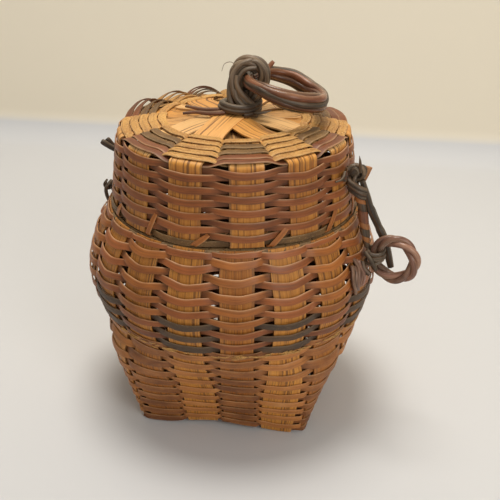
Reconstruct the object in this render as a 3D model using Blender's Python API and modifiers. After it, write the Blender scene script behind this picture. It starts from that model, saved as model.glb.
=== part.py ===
# Lidded basket of bamboo splits, with a rattan knob, a loose ring on it and a hanging latch.
# Metres, +Z up. The origin is the middle of the square base, on the surface it stands on.

import math
from functools import partial

import bmesh
import bpy
import numpy as np
from mathutils import Matrix, Vector

# Fits and thicknesses
gap = 0.0003                    # between pieces that touch
stave_gap = 0.0004              # between a stave and the bent facets it lies on
split_thick = 0.0007            # a stave's thickness
weave_thick = 0.0012            # a woven band's thickness

# Body
base_half = 0.0380              # half the square base, at the middle of a side
belly_radius = 0.0631
belly_height = 0.0710           # where the body is widest
rim_radius = 0.0552
body_height = 0.0968            # top of the body's rim
square_height = 0.0480          # above this the body is round
corner_power = 13.0             # how square the foot is; 2 is round
foot_lift = 0.0028              # how far the middle of a side arches off the floor
lift_height = 0.0160            # the arch dies out at this height
base_thick = 0.0016
base_ring_shares = (0.60, 0.80, 1.0)    # inside the first of these the base lies flat
tan_top = 0.0520                # upper end of the pale lower weave
upper_row_count = 5             # rows that stand out from the brown weave
upper_row_dip = 0.0011          # how far it falls back between them
dark_top = 0.0660               # upper end of the dark band
rim_row_height = 0.0048         # the rim, above the brown weave
lower_shares = ((0.0, 0.0), (0.17, 0.14), (0.37, 0.36), (0.59, 0.72), (0.80, 0.94))
upper_shares = ((0.0, 1.0), (0.50, 0.61), (0.775, 0.28), (1.0, 0.0))
body_stave_width = 0.0136
wide_side_staves = 5            # staves on each side of the foot that faces along X
narrow_side_staves = 4          # and on each that faces along Y
narrow_draw_share = 0.89        # the narrow sides' staves are drawn in this much at the foot
low_level_count = 8             # heights at which the squarish lower wall is drawn
rim_flange = 0.0022             # depth of the rim's inner ledge, which carries the lid

# Neck inside the lid
lid_clearance = 0.0011          # between the neck and the inside of the lid
neck_thick = 0.0014
neck_rise = 0.0075              # how far the neck stands above the rim
neck_depth = 0.0070             # how far it reaches below the rim

# Lid
lid_edge_inset = 0.0016         # how far inside the body's rim the lid's mouth stands
lid_taper = 0.0037              # how far the lid's wall leans in at its top
lid_wall_height = 0.0332
dome_rise = 0.0057
lid_stave_width = 0.0136
lid_stave_degrees = (2, 27, 52, 77, 101, 125, 149.5, 174, 200, 228.5, 256.5, 284.5, 311.5, 337.5)
lid_steps = 42
edge_row_height = 0.0022        # the last row at the lid's mouth
lid_rim_drop = 0.0019           # how far the top disc turns down over the wall
top_disc_thick = 0.0014
crossing_radius = 0.0290        # the bare crossing of the spokes
top_row_count = 5
top_row_low = 0.0005            # inner edge of a woven row, below the dome
top_row_lip = 0.0005            # its outer edge, above the dome
top_row_drop_share = 0.2        # of a row's width, taken up behind its lip
curl_rise = 0.0020              # how far the lips have sprung up at the back left
curl_degrees = (125, 174)       # the lid staves over which they have
curl_spread = 13.0              # in degrees
stitch_radius = 0.0008
stitches = (                    # stave before it, shares of the way to the next below and above, rise
    (9, 0.14, 0.50, 0.0095),
    (10, 0.04, 0.31, 0.0055),
    (11, 0.055, 0.96, 0.0080),
    (12, 0.335, 0.99, 0.0100),
)

# Knob and its coil
knob_base_x = 0.0025
knob_lean = math.radians(15)
knob_eye_height = 0.0155        # from the lid to the middle of the eye, along the stem
knob_eye_radius = 0.0060        # to the middle of the rattan
knob_radius = 0.0021
knob_foot_spread = 0.0032
knob_open = math.radians(50)    # the eye's circle ends this far below its sides
eye_play = 0.0004               # between the eye and the ring that hangs in it
coil_radius = 0.00130
coil_play = 0.0013              # between the coil and the stem's feet
coil_turns = 2
coil_gap = 0.0005

# Top ring, a three-strand winding that swings in the knob's eye
ring_strands = 3
top_ring_radius = 0.0155
top_strand_radius = 0.00110
top_strand_offset = 0.00168
top_ring_tilt = math.radians(16)
ring_twist = 4                  # strand turns in all the loops together
loop_points = 24
wind_end_space = 0.0012         # left free between a winding's two straight ends

# Latch, on the radius that points this way
latch_angle = math.radians(-18)
lug_rise = 0.0210               # from the lid's mouth up to the middle of its lug
lug_radius = 0.0030
lug_wire = 0.0010
eye_clearance = 0.00045
strap_eye_wire = 0.0009
inner_leg_radius = 0.0013
inner_leg_shares = ((0.45, 0.33), (0.70, 0.67))     # out to the binding, down to it
outer_leg_radius = 0.0012
outer_leg_top_shares = ((1.65, 0.61), (1.34, -0.53), (1.18, -1.45))     # of the lug's size, out and up
outer_leg_shares = (            # out to the ring's middle, up from the lug, round behind it
    (0.30, -0.26, 0.0),
    (0.46, -0.43, 0.35),
    (0.68, -0.66, 1.0),
    (0.82, -0.86, 1.0),
    (0.90, -1.04, 1.0),
)
latch_ring_drop = 0.0138        # from the body's rim down to the middle of the ring
latch_ring_radius = 0.0084
latch_strand_radius = 0.00095
latch_strand_offset = 0.00155
binding_height = 0.0060
binding_thick = 0.0009
binding_play = 0.00030          # beyond what the ring's own bend takes up
belly_clearance = 0.0005        # between the latch strap and the walls behind it
outer_leg_behind = 0.0042       # how far the outer leg runs behind the ring
knot_angle = math.radians(-25.5)
knot_size = (0.0013, 0.0028, 0.0022)
body_lug_angle = math.radians(-25.2)
body_lug_drop = 0.0080          # from the middle of the latch ring down to it
body_lug_size = (0.0013, 0.0022, 0.0046)

# Hinge, at the frame's -X
pin_radius = 0.0011
pin_clearance = 0.00035
pin_half = 0.0036
hinge_thick = 0.0012
hinge_width = 0.0048
hinge_roll = math.radians(230)
hinge_strap_top = 0.0180        # above the hinge axis
hinge_strap_shares = (0.3, 0.65, 1.0)
staple_drop = 0.0085
tie_reach = 0.0042
tie_rise = 0.0048

merge_space = 0.00001           # points of a turned shape's axis that become one

# Colours: red, green, blue, then roughness
finishes = {
    "gold_split": ((0.52, 0.29, 0.085), 0.55),
    "brown_split": ((0.22, 0.080, 0.032), 0.50),
    "tan_split": ((0.42, 0.175, 0.065), 0.55),
    "dark_split": ((0.075, 0.055, 0.038), 0.60),
    "olive_split": ((0.20, 0.115, 0.045), 0.60),
    "black_rattan": ((0.055, 0.042, 0.036), 0.45),
    "red_rattan": ((0.18, 0.065, 0.032), 0.30),
}

# Worked out from the sizes above
quarter_staves = wide_side_staves + narrow_side_staves
body_stave_count = 2 * quarter_staves
body_steps = 2 * body_stave_count
brown_top = body_height - rim_row_height
lid_edge_radius = rim_radius - lid_edge_inset
lid_top_radius = lid_edge_radius - lid_taper
lid_base = body_height + gap
lid_top_height = lid_base + lid_wall_height
lug_height = lid_base + lug_rise
latch_ring_height = body_height - latch_ring_drop
body_lug_height = latch_ring_height - body_lug_drop
band_offset = -(split_thick + stave_gap)
band_inner = band_offset - weave_thick
neck_radius = lid_edge_radius + band_inner - lid_clearance
dome_top = lid_top_height + dome_rise
top_bundle = top_strand_offset + top_strand_radius
latch_bundle = latch_strand_offset + latch_strand_radius


def clear_scene():
    for item in list(bpy.data.objects):
        bpy.data.objects.remove(item, do_unlink=True)


clear_scene()
basket = bpy.data.collections.new("bamboo_jewelry_basket")
bpy.context.scene.collection.children.link(basket)


def finish(name):
    material = bpy.data.materials.get(name)
    if material is None:
        colour, roughness = finishes[name]
        material = bpy.data.materials.new(name)
        material.use_nodes = True
        shader = material.node_tree.nodes["Principled BSDF"]
        shader.inputs["Base Color"].default_value = (*colour, 1.0)
        shader.inputs["Roughness"].default_value = roughness
        shader.inputs["Metallic"].default_value = 0.0
        material.diffuse_color = (*colour, 1.0)
    return material


def add_piece(name, data, colour, parent=None):
    piece = bpy.data.objects.new(name, data)
    basket.objects.link(piece)
    data.materials.append(finish(colour))
    hang(piece, parent)
    return piece


def adopt_piece(name, colour, parent=None):
    """Takes over the primitive that was just added."""
    piece = bpy.context.object
    for owner in list(piece.users_collection):
        owner.objects.unlink(piece)
    basket.objects.link(piece)
    piece.name = name
    piece.data.name = name
    piece.data.materials.append(finish(colour))
    piece.data.shade_smooth()
    hang(piece, parent)
    return piece


def hang(piece, parent):
    """Parents a piece that already lies in its place."""
    if parent is not None:
        piece.parent = parent
        piece.matrix_parent_inverse = parent.matrix_basis.inverted()


def add_axis(name, place):
    axis = bpy.data.objects.new(name, None)
    axis.location = place
    basket.objects.link(axis)
    return axis


# Curves and outlines

def outward(angle):
    return Vector((math.cos(angle), math.sin(angle), 0))


def smooth_value(points, at):
    """Height of a smooth curve through (x, y) points."""
    xs = np.array([p[0] for p in points])
    ys = np.array([p[1] for p in points])
    slopes = np.gradient(ys, xs)
    k = int(np.clip(np.searchsorted(xs, at) - 1, 0, len(xs) - 2))
    span = xs[k + 1] - xs[k]
    t = (at - xs[k]) / span
    start = (1 + 2 * t) * (1 - t) ** 2 * ys[k] + t * (1 - t) ** 2 * span * slopes[k]
    end = t * t * (3 - 2 * t) * ys[k + 1] + t * t * (t - 1) * span * slopes[k + 1]
    return float(start + end)


def smooth_path(points, count):
    """Evenly spaced points on a smooth curve through the given ones."""
    knots = np.array([tuple(p) for p in points], float)
    padded = np.vstack([2 * knots[0] - knots[1], knots, 2 * knots[-1] - knots[-2]])
    dense = []
    for k in range(len(knots) - 1):
        a, b, c, d = padded[k:k + 4]
        for t in np.linspace(0, 1, 12, endpoint=False):
            linear = (c - a) * t
            square = (2 * a - 5 * b + 4 * c - d) * t * t
            cubic = (3 * b - a - 3 * c + d) * t ** 3
            dense.append((2 * b + linear + square + cubic) / 2)
    dense.append(knots[-1])
    dense = np.array(dense)
    steps = np.linalg.norm(np.diff(dense, axis=0), axis=1)
    length = np.concatenate([[0], np.cumsum(steps)])
    wanted = np.linspace(0, length[-1], count)
    return np.stack([np.interp(wanted, length, dense[:, k]) for k in range(3)], axis=1)


def body_outline():
    grow = belly_radius - base_half
    shrink = belly_radius - rim_radius
    above = body_height - belly_height
    low = [(h * belly_height, base_half + w * grow) for h, w in lower_shares]
    high = [(belly_height + h * above, rim_radius + w * shrink) for h, w in upper_shares]
    return low + high


body_points = body_outline()


def squareness(height):
    return max(0.0, 1 - height / square_height) ** 1.5


def foot_angle(place):
    """Direction, at the square foot, of a place counted in half pitches of the staves."""
    for side in range(5):
        staves = (wide_side_staves, narrow_side_staves)[side % 2]
        away = place - side * quarter_staves
        if abs(away) <= staves:
            drawn = 1 if side % 2 == 0 or abs(away) == staves else narrow_draw_share
            return side * math.pi / 2 + math.atan(drawn * away / staves)


def body_angle(place, height):
    """The same direction at any height: the wall turns round above its square foot."""
    blend = squareness(height)
    return (1 - blend) * place * math.tau / body_steps + blend * foot_angle(place)


def body_radius(angle, height):
    power = 2 + (corner_power - 2) * squareness(height)
    spread = abs(math.cos(angle)) ** power + abs(math.sin(angle)) ** power
    return smooth_value(body_points, height) * spread ** (-1 / power)


def body_lift(angle, height):
    return foot_lift * math.cos(2 * angle) ** 2 * max(0.0, 1 - height / lift_height)


def body_corners(height):
    return [body_angle(place, height) for place in range(body_steps)]


def body_wall(angle, height, offset):
    reach = body_radius(angle, height) + offset
    return outward(angle) * reach + Vector((0, 0, height + body_lift(angle, height)))


def lid_radius(height):
    share = (height - lid_base) / lid_wall_height
    return lid_edge_radius + (lid_top_radius - lid_edge_radius) * share


def lid_corners(height):
    return [math.tau * step / lid_steps for step in range(lid_steps)]


def lid_wall(angle, height, offset):
    return outward(angle) * (lid_radius(height) + offset) + Vector((0, 0, height))


def neck_wall(angle, height, offset):
    return outward(angle) * (neck_radius + offset) + Vector((0, 0, height))


def on_facets(wall, corners, angle, height, offset):
    """Point on the flat facets between a wall's corners, so that layers stay parallel."""
    turns = corners(height)
    turns.append(turns[0] + math.tau)
    angle %= math.tau
    k = int(np.searchsorted(turns, angle, side="right")) - 1
    a = wall(turns[k], height, offset)
    b = wall(turns[k + 1], height, offset)
    ray = outward(angle)
    before = ray.x * a.y - ray.y * a.x
    after = ray.x * b.y - ray.y * b.x
    return a.lerp(b, before / (before - after))


def dome_height(reach):
    return lid_top_height + dome_rise * (1 - (reach / lid_top_radius) ** 2)


def top_wall(angle, reach, offset):
    """Point over the lid's top; the lips of its rows have sprung up over two staves."""
    near = max(math.exp(-((math.degrees(angle) - d) / curl_spread) ** 2) for d in curl_degrees)
    curl = curl_rise * near * max(0.0, offset / top_row_lip)
    return outward(angle) * reach + Vector((0, 0, dome_height(reach) + offset + curl))


# Makers

def add_band(name, outline, wall, corners, colour, parent=None):
    """Closed ring: an outline of (height, offset) points carried round the wall."""
    mesh = bmesh.new()
    turns = [corners(h) for h, o in outline]
    steps = len(turns[0])
    loops = []
    for step in range(steps):
        places = [wall(turn[step], h, o) for turn, (h, o) in zip(turns, outline)]
        loops.append([mesh.verts.new(place) for place in places])
    count = len(outline)
    for step in range(steps):
        here, there = loops[step], loops[(step + 1) % steps]
        for k in range(count):
            n = (k + 1) % count
            mesh.faces.new((here[k], there[k], there[n], here[n]))
    bmesh.ops.recalc_face_normals(mesh, faces=mesh.faces)
    data = bpy.data.meshes.new(name)
    mesh.to_mesh(data)
    mesh.free()
    data.shade_smooth()
    data.set_sharp_from_angle(angle=math.radians(40))
    return add_piece(name, data, colour, parent)


def band_outline(low, high, levels, outer, inner):
    inside = [h for h in levels if low < h < high]
    heights = [low + gap / 2, *inside, high - gap / 2]
    return [(h, outer) for h in heights] + [(h, inner) for h in reversed(heights)]


def ribbed_outline(low, high, rows, dip):
    """Outline of a band that falls back between its rows."""
    heights = np.linspace(low + gap / 2, high - gap / 2, 2 * rows + 1)
    outer = [(h, band_offset - dip * (k % 2)) for k, h in enumerate(heights)]
    return outer + [(h, o - weave_thick) for h, o in reversed(outer)]


def add_strip(name, columns, colour, thickness, parent=None):
    """Sheet of point columns, thickened inwards."""
    mesh = bmesh.new()
    rows = [[mesh.verts.new(p) for p in column] for column in columns]
    for left, right in zip(rows, rows[1:]):
        for k in range(len(left) - 1):
            mesh.faces.new((left[k], right[k], right[k + 1], left[k + 1]))
    data = bpy.data.meshes.new(name)
    mesh.to_mesh(data)
    mesh.free()
    data.shade_smooth()
    piece = add_piece(name, data, colour, parent)
    skin = piece.modifiers.new("thickness", "SOLIDIFY")
    skin.thickness = thickness
    skin.offset = -1
    skin.use_even_offset = False
    return piece


def add_stave(name, wall, corners, columns, heights, colour, parent=None):
    """Split that follows a wall's facets, as a sheet between two offsets."""
    mesh = bmesh.new()
    layers = []
    for offset in (0.0, -split_thick):
        grid = []
        for angle_at in columns:
            places = [on_facets(wall, corners, angle_at(h), h, offset) for h in heights]
            grid.append([mesh.verts.new(place) for place in places])
        layers.append(grid)
    outer, inner = layers
    last, top = len(columns) - 1, len(heights) - 1
    for c in range(last):
        for r in range(top):
            mesh.faces.new((outer[c][r], outer[c + 1][r], outer[c + 1][r + 1], outer[c][r + 1]))
            mesh.faces.new((inner[c][r], inner[c][r + 1], inner[c + 1][r + 1], inner[c + 1][r]))
    for c in range(last):
        for r in (0, top):
            mesh.faces.new((outer[c][r], inner[c][r], inner[c + 1][r], outer[c + 1][r]))
    for r in range(top):
        for c in (0, last):
            mesh.faces.new((outer[c][r], outer[c][r + 1], inner[c][r + 1], inner[c][r]))
    bmesh.ops.recalc_face_normals(mesh, faces=mesh.faces)
    data = bpy.data.meshes.new(name)
    mesh.to_mesh(data)
    mesh.free()
    data.shade_smooth()
    data.set_sharp_from_angle(angle=math.radians(40))
    return add_piece(name, data, colour, parent)


def add_turned(name, outline, steps, place, colour, parent=None, closed=False):
    """Profile of (reach, height) points, top to bottom on its outer side, turned about Z."""
    data = bpy.data.meshes.new(name)
    edges = [(k, k + 1) for k in range(len(outline) - 1)]
    if closed:
        edges.append((len(outline) - 1, 0))
    data.from_pydata([(r, 0, h) for r, h in outline], edges, [])
    piece = add_piece(name, data, colour)
    piece.location = place
    turn = piece.modifiers.new("turn", "SCREW")
    turn.axis = "Z"
    turn.angle = math.tau
    turn.steps = steps
    turn.render_steps = steps
    turn.use_merge_vertices = True
    turn.merge_threshold = merge_space
    turn.use_smooth_shade = True
    hang(piece, parent)
    return piece


def add_tube(name, points, radius, colour, parent=None, resolution=2):
    data = bpy.data.curves.new(name, "CURVE")
    data.dimensions = "3D"
    data.bevel_depth = radius
    data.bevel_resolution = resolution
    data.use_fill_caps = True
    route = data.splines.new("POLY")
    route.points.add(len(points) - 1)
    for knot, point in zip(route.points, points):
        knot.co = (*point, 1.0)
    return add_piece(name, data, colour, parent)


def least_gap(points, radius, apart):
    """Smallest free space between stretches of a tube that lie this far apart along it."""
    route = np.array([tuple(p) for p in points])
    dense = np.concatenate([np.linspace(a, b, 6, endpoint=False) for a, b in zip(route, route[1:])])
    steps = np.linalg.norm(np.diff(dense, axis=0), axis=1)
    length = np.concatenate([[0], np.cumsum(steps)])
    away = np.linalg.norm(dense[:, None] - dense[None], axis=2)
    away[np.abs(length[:, None] - length[None]) < apart] = np.inf
    return float(away.min() - 2 * radius)


def straight_ends(points, radius):
    """Carries a tube straight on for one diameter at both ends."""
    first = points[0] + (points[0] - points[1]).normalized() * 2 * radius
    last = points[-1] + (points[-1] - points[-2]).normalized() * 2 * radius
    return [first, *points, last]


def wound_points(centre, along, across, ring_radius, offset, radius, start):
    """One rattan wound three times round a ring, its strands laid round each other."""
    normal = along.cross(across)
    turns = ring_strands - (4 * radius + wind_end_space) / (math.tau * ring_radius)
    points = []
    for k in range(math.floor(turns * loop_points) + 1):
        turn = start + math.tau * k / loop_points
        lay = turn * ring_twist / ring_strands
        spoke = along * math.cos(turn) + across * math.sin(turn)
        reach = ring_radius + offset * math.cos(lay)
        points.append(centre + spoke * reach + normal * offset * math.sin(lay))
    return straight_ends(points, radius)


def latch_place(reach, height, side=0.0):
    """Point in the latch's own frame: out along its radius, up, and round behind it."""
    behind = outward(latch_angle + math.radians(90))
    return outward(latch_angle) * reach + behind * side + Vector((0, 0, height))


def wall_reach(height):
    """How far out the basket's round part or its lid stands at this height."""
    return body_radius(math.radians(90), height) if height <= body_height else lid_radius(height)


def widest_above(height):
    """How far out the body stands at most between this height and its rim."""
    return max(wall_reach(level) for level in np.linspace(height, body_height, low_level_count))


# Joint axes
eye_reach = Vector((math.sin(knob_lean), 0, math.cos(knob_lean)))
knob_base = Vector((knob_base_x, 0, dome_top))
eye_side = knob_eye_radius * math.cos(knob_open)
eye_low = knob_eye_radius * math.sin(knob_open)
ring_reach = knob_radius + eye_play + top_bundle
ring_drop = eye_low - math.sqrt(ring_reach ** 2 - eye_side ** 2)
ring_seat = knob_base + eye_reach * (knob_eye_height - ring_drop)
hinge_outer = pin_radius + pin_clearance + hinge_thick
hinge_reach = lid_edge_radius + gap + hinge_outer + gap
hinge_rise = math.sqrt((hinge_outer + gap) ** 2 - (hinge_reach - rim_radius) ** 2)
hinge_place = Vector((-hinge_reach, 0, body_height + hinge_rise + gap / 2))
lug_reach = lid_radius(lug_height) + gap + lug_radius + lug_wire
lug_place = latch_place(lug_reach, lug_height)
ring_bend = (binding_height / 2) ** 2 / (2 * latch_ring_radius)
binding_bore = latch_bundle + ring_bend + binding_play
binding_outer = binding_bore + binding_thick
binding_low = latch_ring_height - binding_height / 2
binding_high = latch_ring_height + binding_height / 2
binding_reach = widest_above(binding_low) + belly_clearance + binding_outer
binding_place = latch_place(binding_reach, latch_ring_height)

lid_axis = add_axis("lid_axis", hinge_place)
top_ring_axis = add_axis("top_ring_axis", ring_seat)
latch_strap_axis = add_axis("latch_strap_axis", lug_place)
latch_ring_axis = add_axis("latch_ring_axis", binding_place)


# Body

def build_base():
    mesh = bmesh.new()
    inset = band_inner - gap
    flat = base_ring_shares[0]
    middle = mesh.verts.new((0, 0, 0))
    rings = []
    for share in base_ring_shares:
        ring = []
        rise = (share - flat) / (1 - flat)
        for step in range(body_steps):
            edge = body_wall(foot_angle(step), 0.0, inset)
            ring.append(mesh.verts.new((edge.x * share, edge.y * share, edge.z * rise)))
        rings.append(ring)
    for step in range(body_steps):
        after = (step + 1) % body_steps
        mesh.faces.new((middle, rings[0][after], rings[0][step]))
        for inner, outer in zip(rings, rings[1:]):
            mesh.faces.new((inner[step], inner[after], outer[after], outer[step]))
    data = bpy.data.meshes.new("base_mat")
    mesh.to_mesh(data)
    mesh.free()
    piece = add_piece("base_mat", data, "tan_split")
    skin = piece.modifiers.new("thickness", "SOLIDIFY")
    skin.thickness = base_thick
    skin.offset = -1
    skin.use_even_offset = False


def build_body():
    low_levels = [tan_top * k / low_level_count for k in range(low_level_count + 1)]
    row = (brown_top - dark_top) / upper_row_count
    levels = low_levels + [dark_top + row * k for k in range(upper_row_count + 1)]
    lower = band_outline(0.0, tan_top, levels, band_offset, band_inner)
    lower[0] = (0.0, band_offset)
    lower[-1] = (0.0, band_inner)
    add_band("lower_weave", lower, body_wall, body_corners, "tan_split")
    dark = band_outline(tan_top, dark_top, levels, band_offset, band_inner)
    add_band("dark_band", dark, body_wall, body_corners, "dark_split")
    upper = ribbed_outline(dark_top, brown_top, upper_row_count, upper_row_dip)
    add_band("upper_weave", upper, body_wall, body_corners, "brown_split")

    low = brown_top + gap / 2
    ledge = body_height - rim_flange
    ledge_inner = neck_radius + gap
    rim = [
        (low, band_offset),
        (body_height, band_offset),
        (body_height, ledge_inner - body_radius(0, body_height)),
        (ledge, ledge_inner - body_radius(0, ledge)),
        (ledge, band_inner),
        (low, band_inner),
    ]
    add_band("body_rim", rim, body_wall, body_corners, "brown_split")

    stave_levels = [*levels, body_height]
    for number in range(body_stave_count):
        columns = [partial(stave_angle, number, side) for side in (-1, 0, 1)]
        name = f"body_stave_{number + 1:02d}"
        add_stave(name, body_wall, body_corners, columns, stave_levels, "gold_split")


def stave_angle(number, side, height):
    """Direction of a body stave's middle (side 0) or of one of its edges (-1 or 1)."""
    spread = side * body_stave_width / 2 / smooth_value(body_points, height)
    foot = foot_angle(2 * number)
    square_side = round(foot / (math.pi / 2)) * math.pi / 2
    foot_edge = square_side + math.atan(math.tan(foot - square_side) + spread)
    round_edge = math.tau * number / body_stave_count + spread
    blend = squareness(height)
    return (1 - blend) * round_edge + blend * foot_edge


def build_neck():
    low = body_height - neck_depth
    high = body_height + neck_rise
    outline = [(low, 0.0), (high, 0.0), (high, -neck_thick), (low, -neck_thick)]
    add_band("neck_collar", outline, neck_wall, lid_corners, "olive_split")


# Lid

def build_lid():
    edge_top = lid_base + edge_row_height
    wall_top = lid_top_height - lid_rim_drop
    edge = [(lid_base, band_offset), (edge_top, band_offset), (edge_top, band_inner), (lid_base, band_inner)]
    add_band("lid_edge_row", edge, lid_wall, lid_corners, "olive_split", lid_axis)
    wall_low = edge_top + gap
    wall = [(wall_low, band_offset), (wall_top, band_offset), (wall_top, band_inner), (wall_low, band_inner)]
    add_band("lid_wall_weave", wall, lid_wall, lid_corners, "brown_split", lid_axis)

    facet = math.tau / lid_steps
    narrow = lid_stave_width / 2 / lid_edge_radius
    for number, degrees in enumerate(lid_stave_degrees):
        middle = math.radians(degrees)
        first = math.ceil((middle - narrow) / facet)
        last = math.floor((middle + narrow) / facet)
        ridges = [partial(lid_ridge, k * facet) for k in range(first, last + 1)]
        edges = [partial(lid_stave_edge, middle, side) for side in (-1, 1)]
        columns = [edges[0], *ridges, edges[1]]
        name = f"lid_stave_{number + 1:02d}"
        add_stave(name, lid_wall, lid_corners, columns, (lid_base, wall_top), "gold_split", lid_axis)


def lid_ridge(angle, height):
    return angle


def lid_stave_edge(middle, side, height):
    return middle + side * lid_stave_width / 2 / lid_radius(height)


def build_lid_top():
    recess = weave_thick + gap
    outer = crossing_radius + gap
    lip = lid_top_radius - recess
    low = lid_top_height - lid_rim_drop + gap
    under = recess + top_disc_thick
    middle = crossing_radius / 2
    disc = [
        (0.0, dome_top),
        (middle, dome_height(middle)),
        (crossing_radius, dome_height(crossing_radius)),
        (crossing_radius, dome_height(crossing_radius) - recess),
        ((crossing_radius + lip) / 2, dome_height((crossing_radius + lip) / 2) - recess),
        (lip, dome_height(lip) - recess),
        (lid_top_radius, lid_top_height - recess / 2),
        (lid_top_radius, low),
        (lip - top_disc_thick, low),
        (crossing_radius, dome_height(crossing_radius) - under),
        (middle, dome_height(middle) - under),
        (0.0, dome_top - under),
    ]
    add_turned("lid_top", disc, lid_steps, (0, 0, 0), "gold_split", lid_axis)

    rows = []
    span = lip - gap - outer
    for k in range(top_row_count):
        for share, offset in ((0.0, -top_row_low), (1 - top_row_drop_share, top_row_lip)):
            rows.append((outer + span * (k + share) / top_row_count, offset))
    bottom = [(outer + span * share, -weave_thick) for share in (1.0, 0.5, 0.0)]
    outline = [*rows, (outer + span, -top_row_low), *bottom]
    add_band("top_weave", outline, top_wall, lid_corners, "olive_split", lid_axis)


def between_staves(before, share, height):
    """Direction of a place in the free space between a lid stave and the next one."""
    beside = (lid_stave_width / 2 + gap + stitch_radius) / lid_radius(height)
    first = math.radians(lid_stave_degrees[before]) + beside
    last = math.radians(lid_stave_degrees[before + 1]) - beside
    return first + share * (last - first)


def build_stitches():
    """Ends turned over the lid's edge and tucked up on the outside, between its staves."""
    for number, (before, low_share, high_share, rise) in enumerate(stitches):
        points = []
        for share in (0.0, 0.5, 1.0):
            height = lid_base + stitch_radius + rise * share
            turn = between_staves(before, low_share + (high_share - low_share) * share, height)
            points.append(lid_wall(turn, height, band_offset + gap + stitch_radius))
        add_tube(f"edge_stitch_{number + 1}", points, stitch_radius, "tan_split", lid_axis, 1)


# Knob

def knob_place(across, up):
    """Point in the knob's own plane, which leans along +X."""
    sideways = Vector((math.cos(knob_lean), 0, -math.sin(knob_lean)))
    return knob_base + sideways * across + eye_reach * up


def build_knob():
    count = 14
    half_sweep = math.pi / 2 + knob_open
    arc = []
    for k in range(count + 1):
        turn = math.pi / 2 + half_sweep * (1 - 2 * k / count)
        across = knob_eye_radius * math.cos(turn)
        up = knob_eye_height + knob_eye_radius * math.sin(turn)
        arc.append(knob_place(across, up))
    foot = Vector((knob_foot_spread, 0, 0))
    seat = dome_height(knob_base_x + knob_foot_spread) - dome_top + gap
    feet = []
    for side in (-1, 1):
        low = knob_base + foot * side
        low.z += seat
        above = low + Vector((0, 0, knob_radius))
        feet.append((low, above))
    left, right = feet
    points = [left[0], left[1], *arc, right[1], right[0]]
    add_tube("knob_eye", points, knob_radius, "black_rattan", lid_axis)

    reach = knob_foot_spread + knob_radius + coil_play + coil_radius
    pitch = 2 * coil_radius + coil_gap
    turns = []
    for k in range(coil_turns * loop_points + 1):
        turn = math.tau * k / loop_points
        rise = gap + coil_radius + pitch * k / loop_points
        lean = rise * math.tan(knob_lean)
        turns.append(knob_base + Vector((lean + reach * math.cos(turn), reach * math.sin(turn), rise)))
    turns = straight_ends(turns, coil_radius)
    print(f"knob_coil least gap {least_gap(turns, coil_radius, reach * 3) * 1000:.2f} mm")
    add_tube("knob_coil", turns, coil_radius, "black_rattan", lid_axis, 1)


def build_top_ring():
    along = Vector((math.cos(top_ring_tilt), 0, -math.sin(top_ring_tilt)))
    across = Vector((0, 1, 0))
    centre = ring_seat + along * top_ring_radius
    size = (top_ring_radius, top_strand_offset, top_strand_radius)
    points = wound_points(centre, along, across, *size, 0.0)
    free = least_gap(points, top_strand_radius, top_ring_radius)
    print(f"top_ring least gap {free * 1000:.2f} mm")
    add_tube("top_ring", points, top_strand_radius, "red_rattan", top_ring_axis, 1)


# Latch

def facing(angle):
    return (math.pi / 2, 0, angle)


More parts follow.
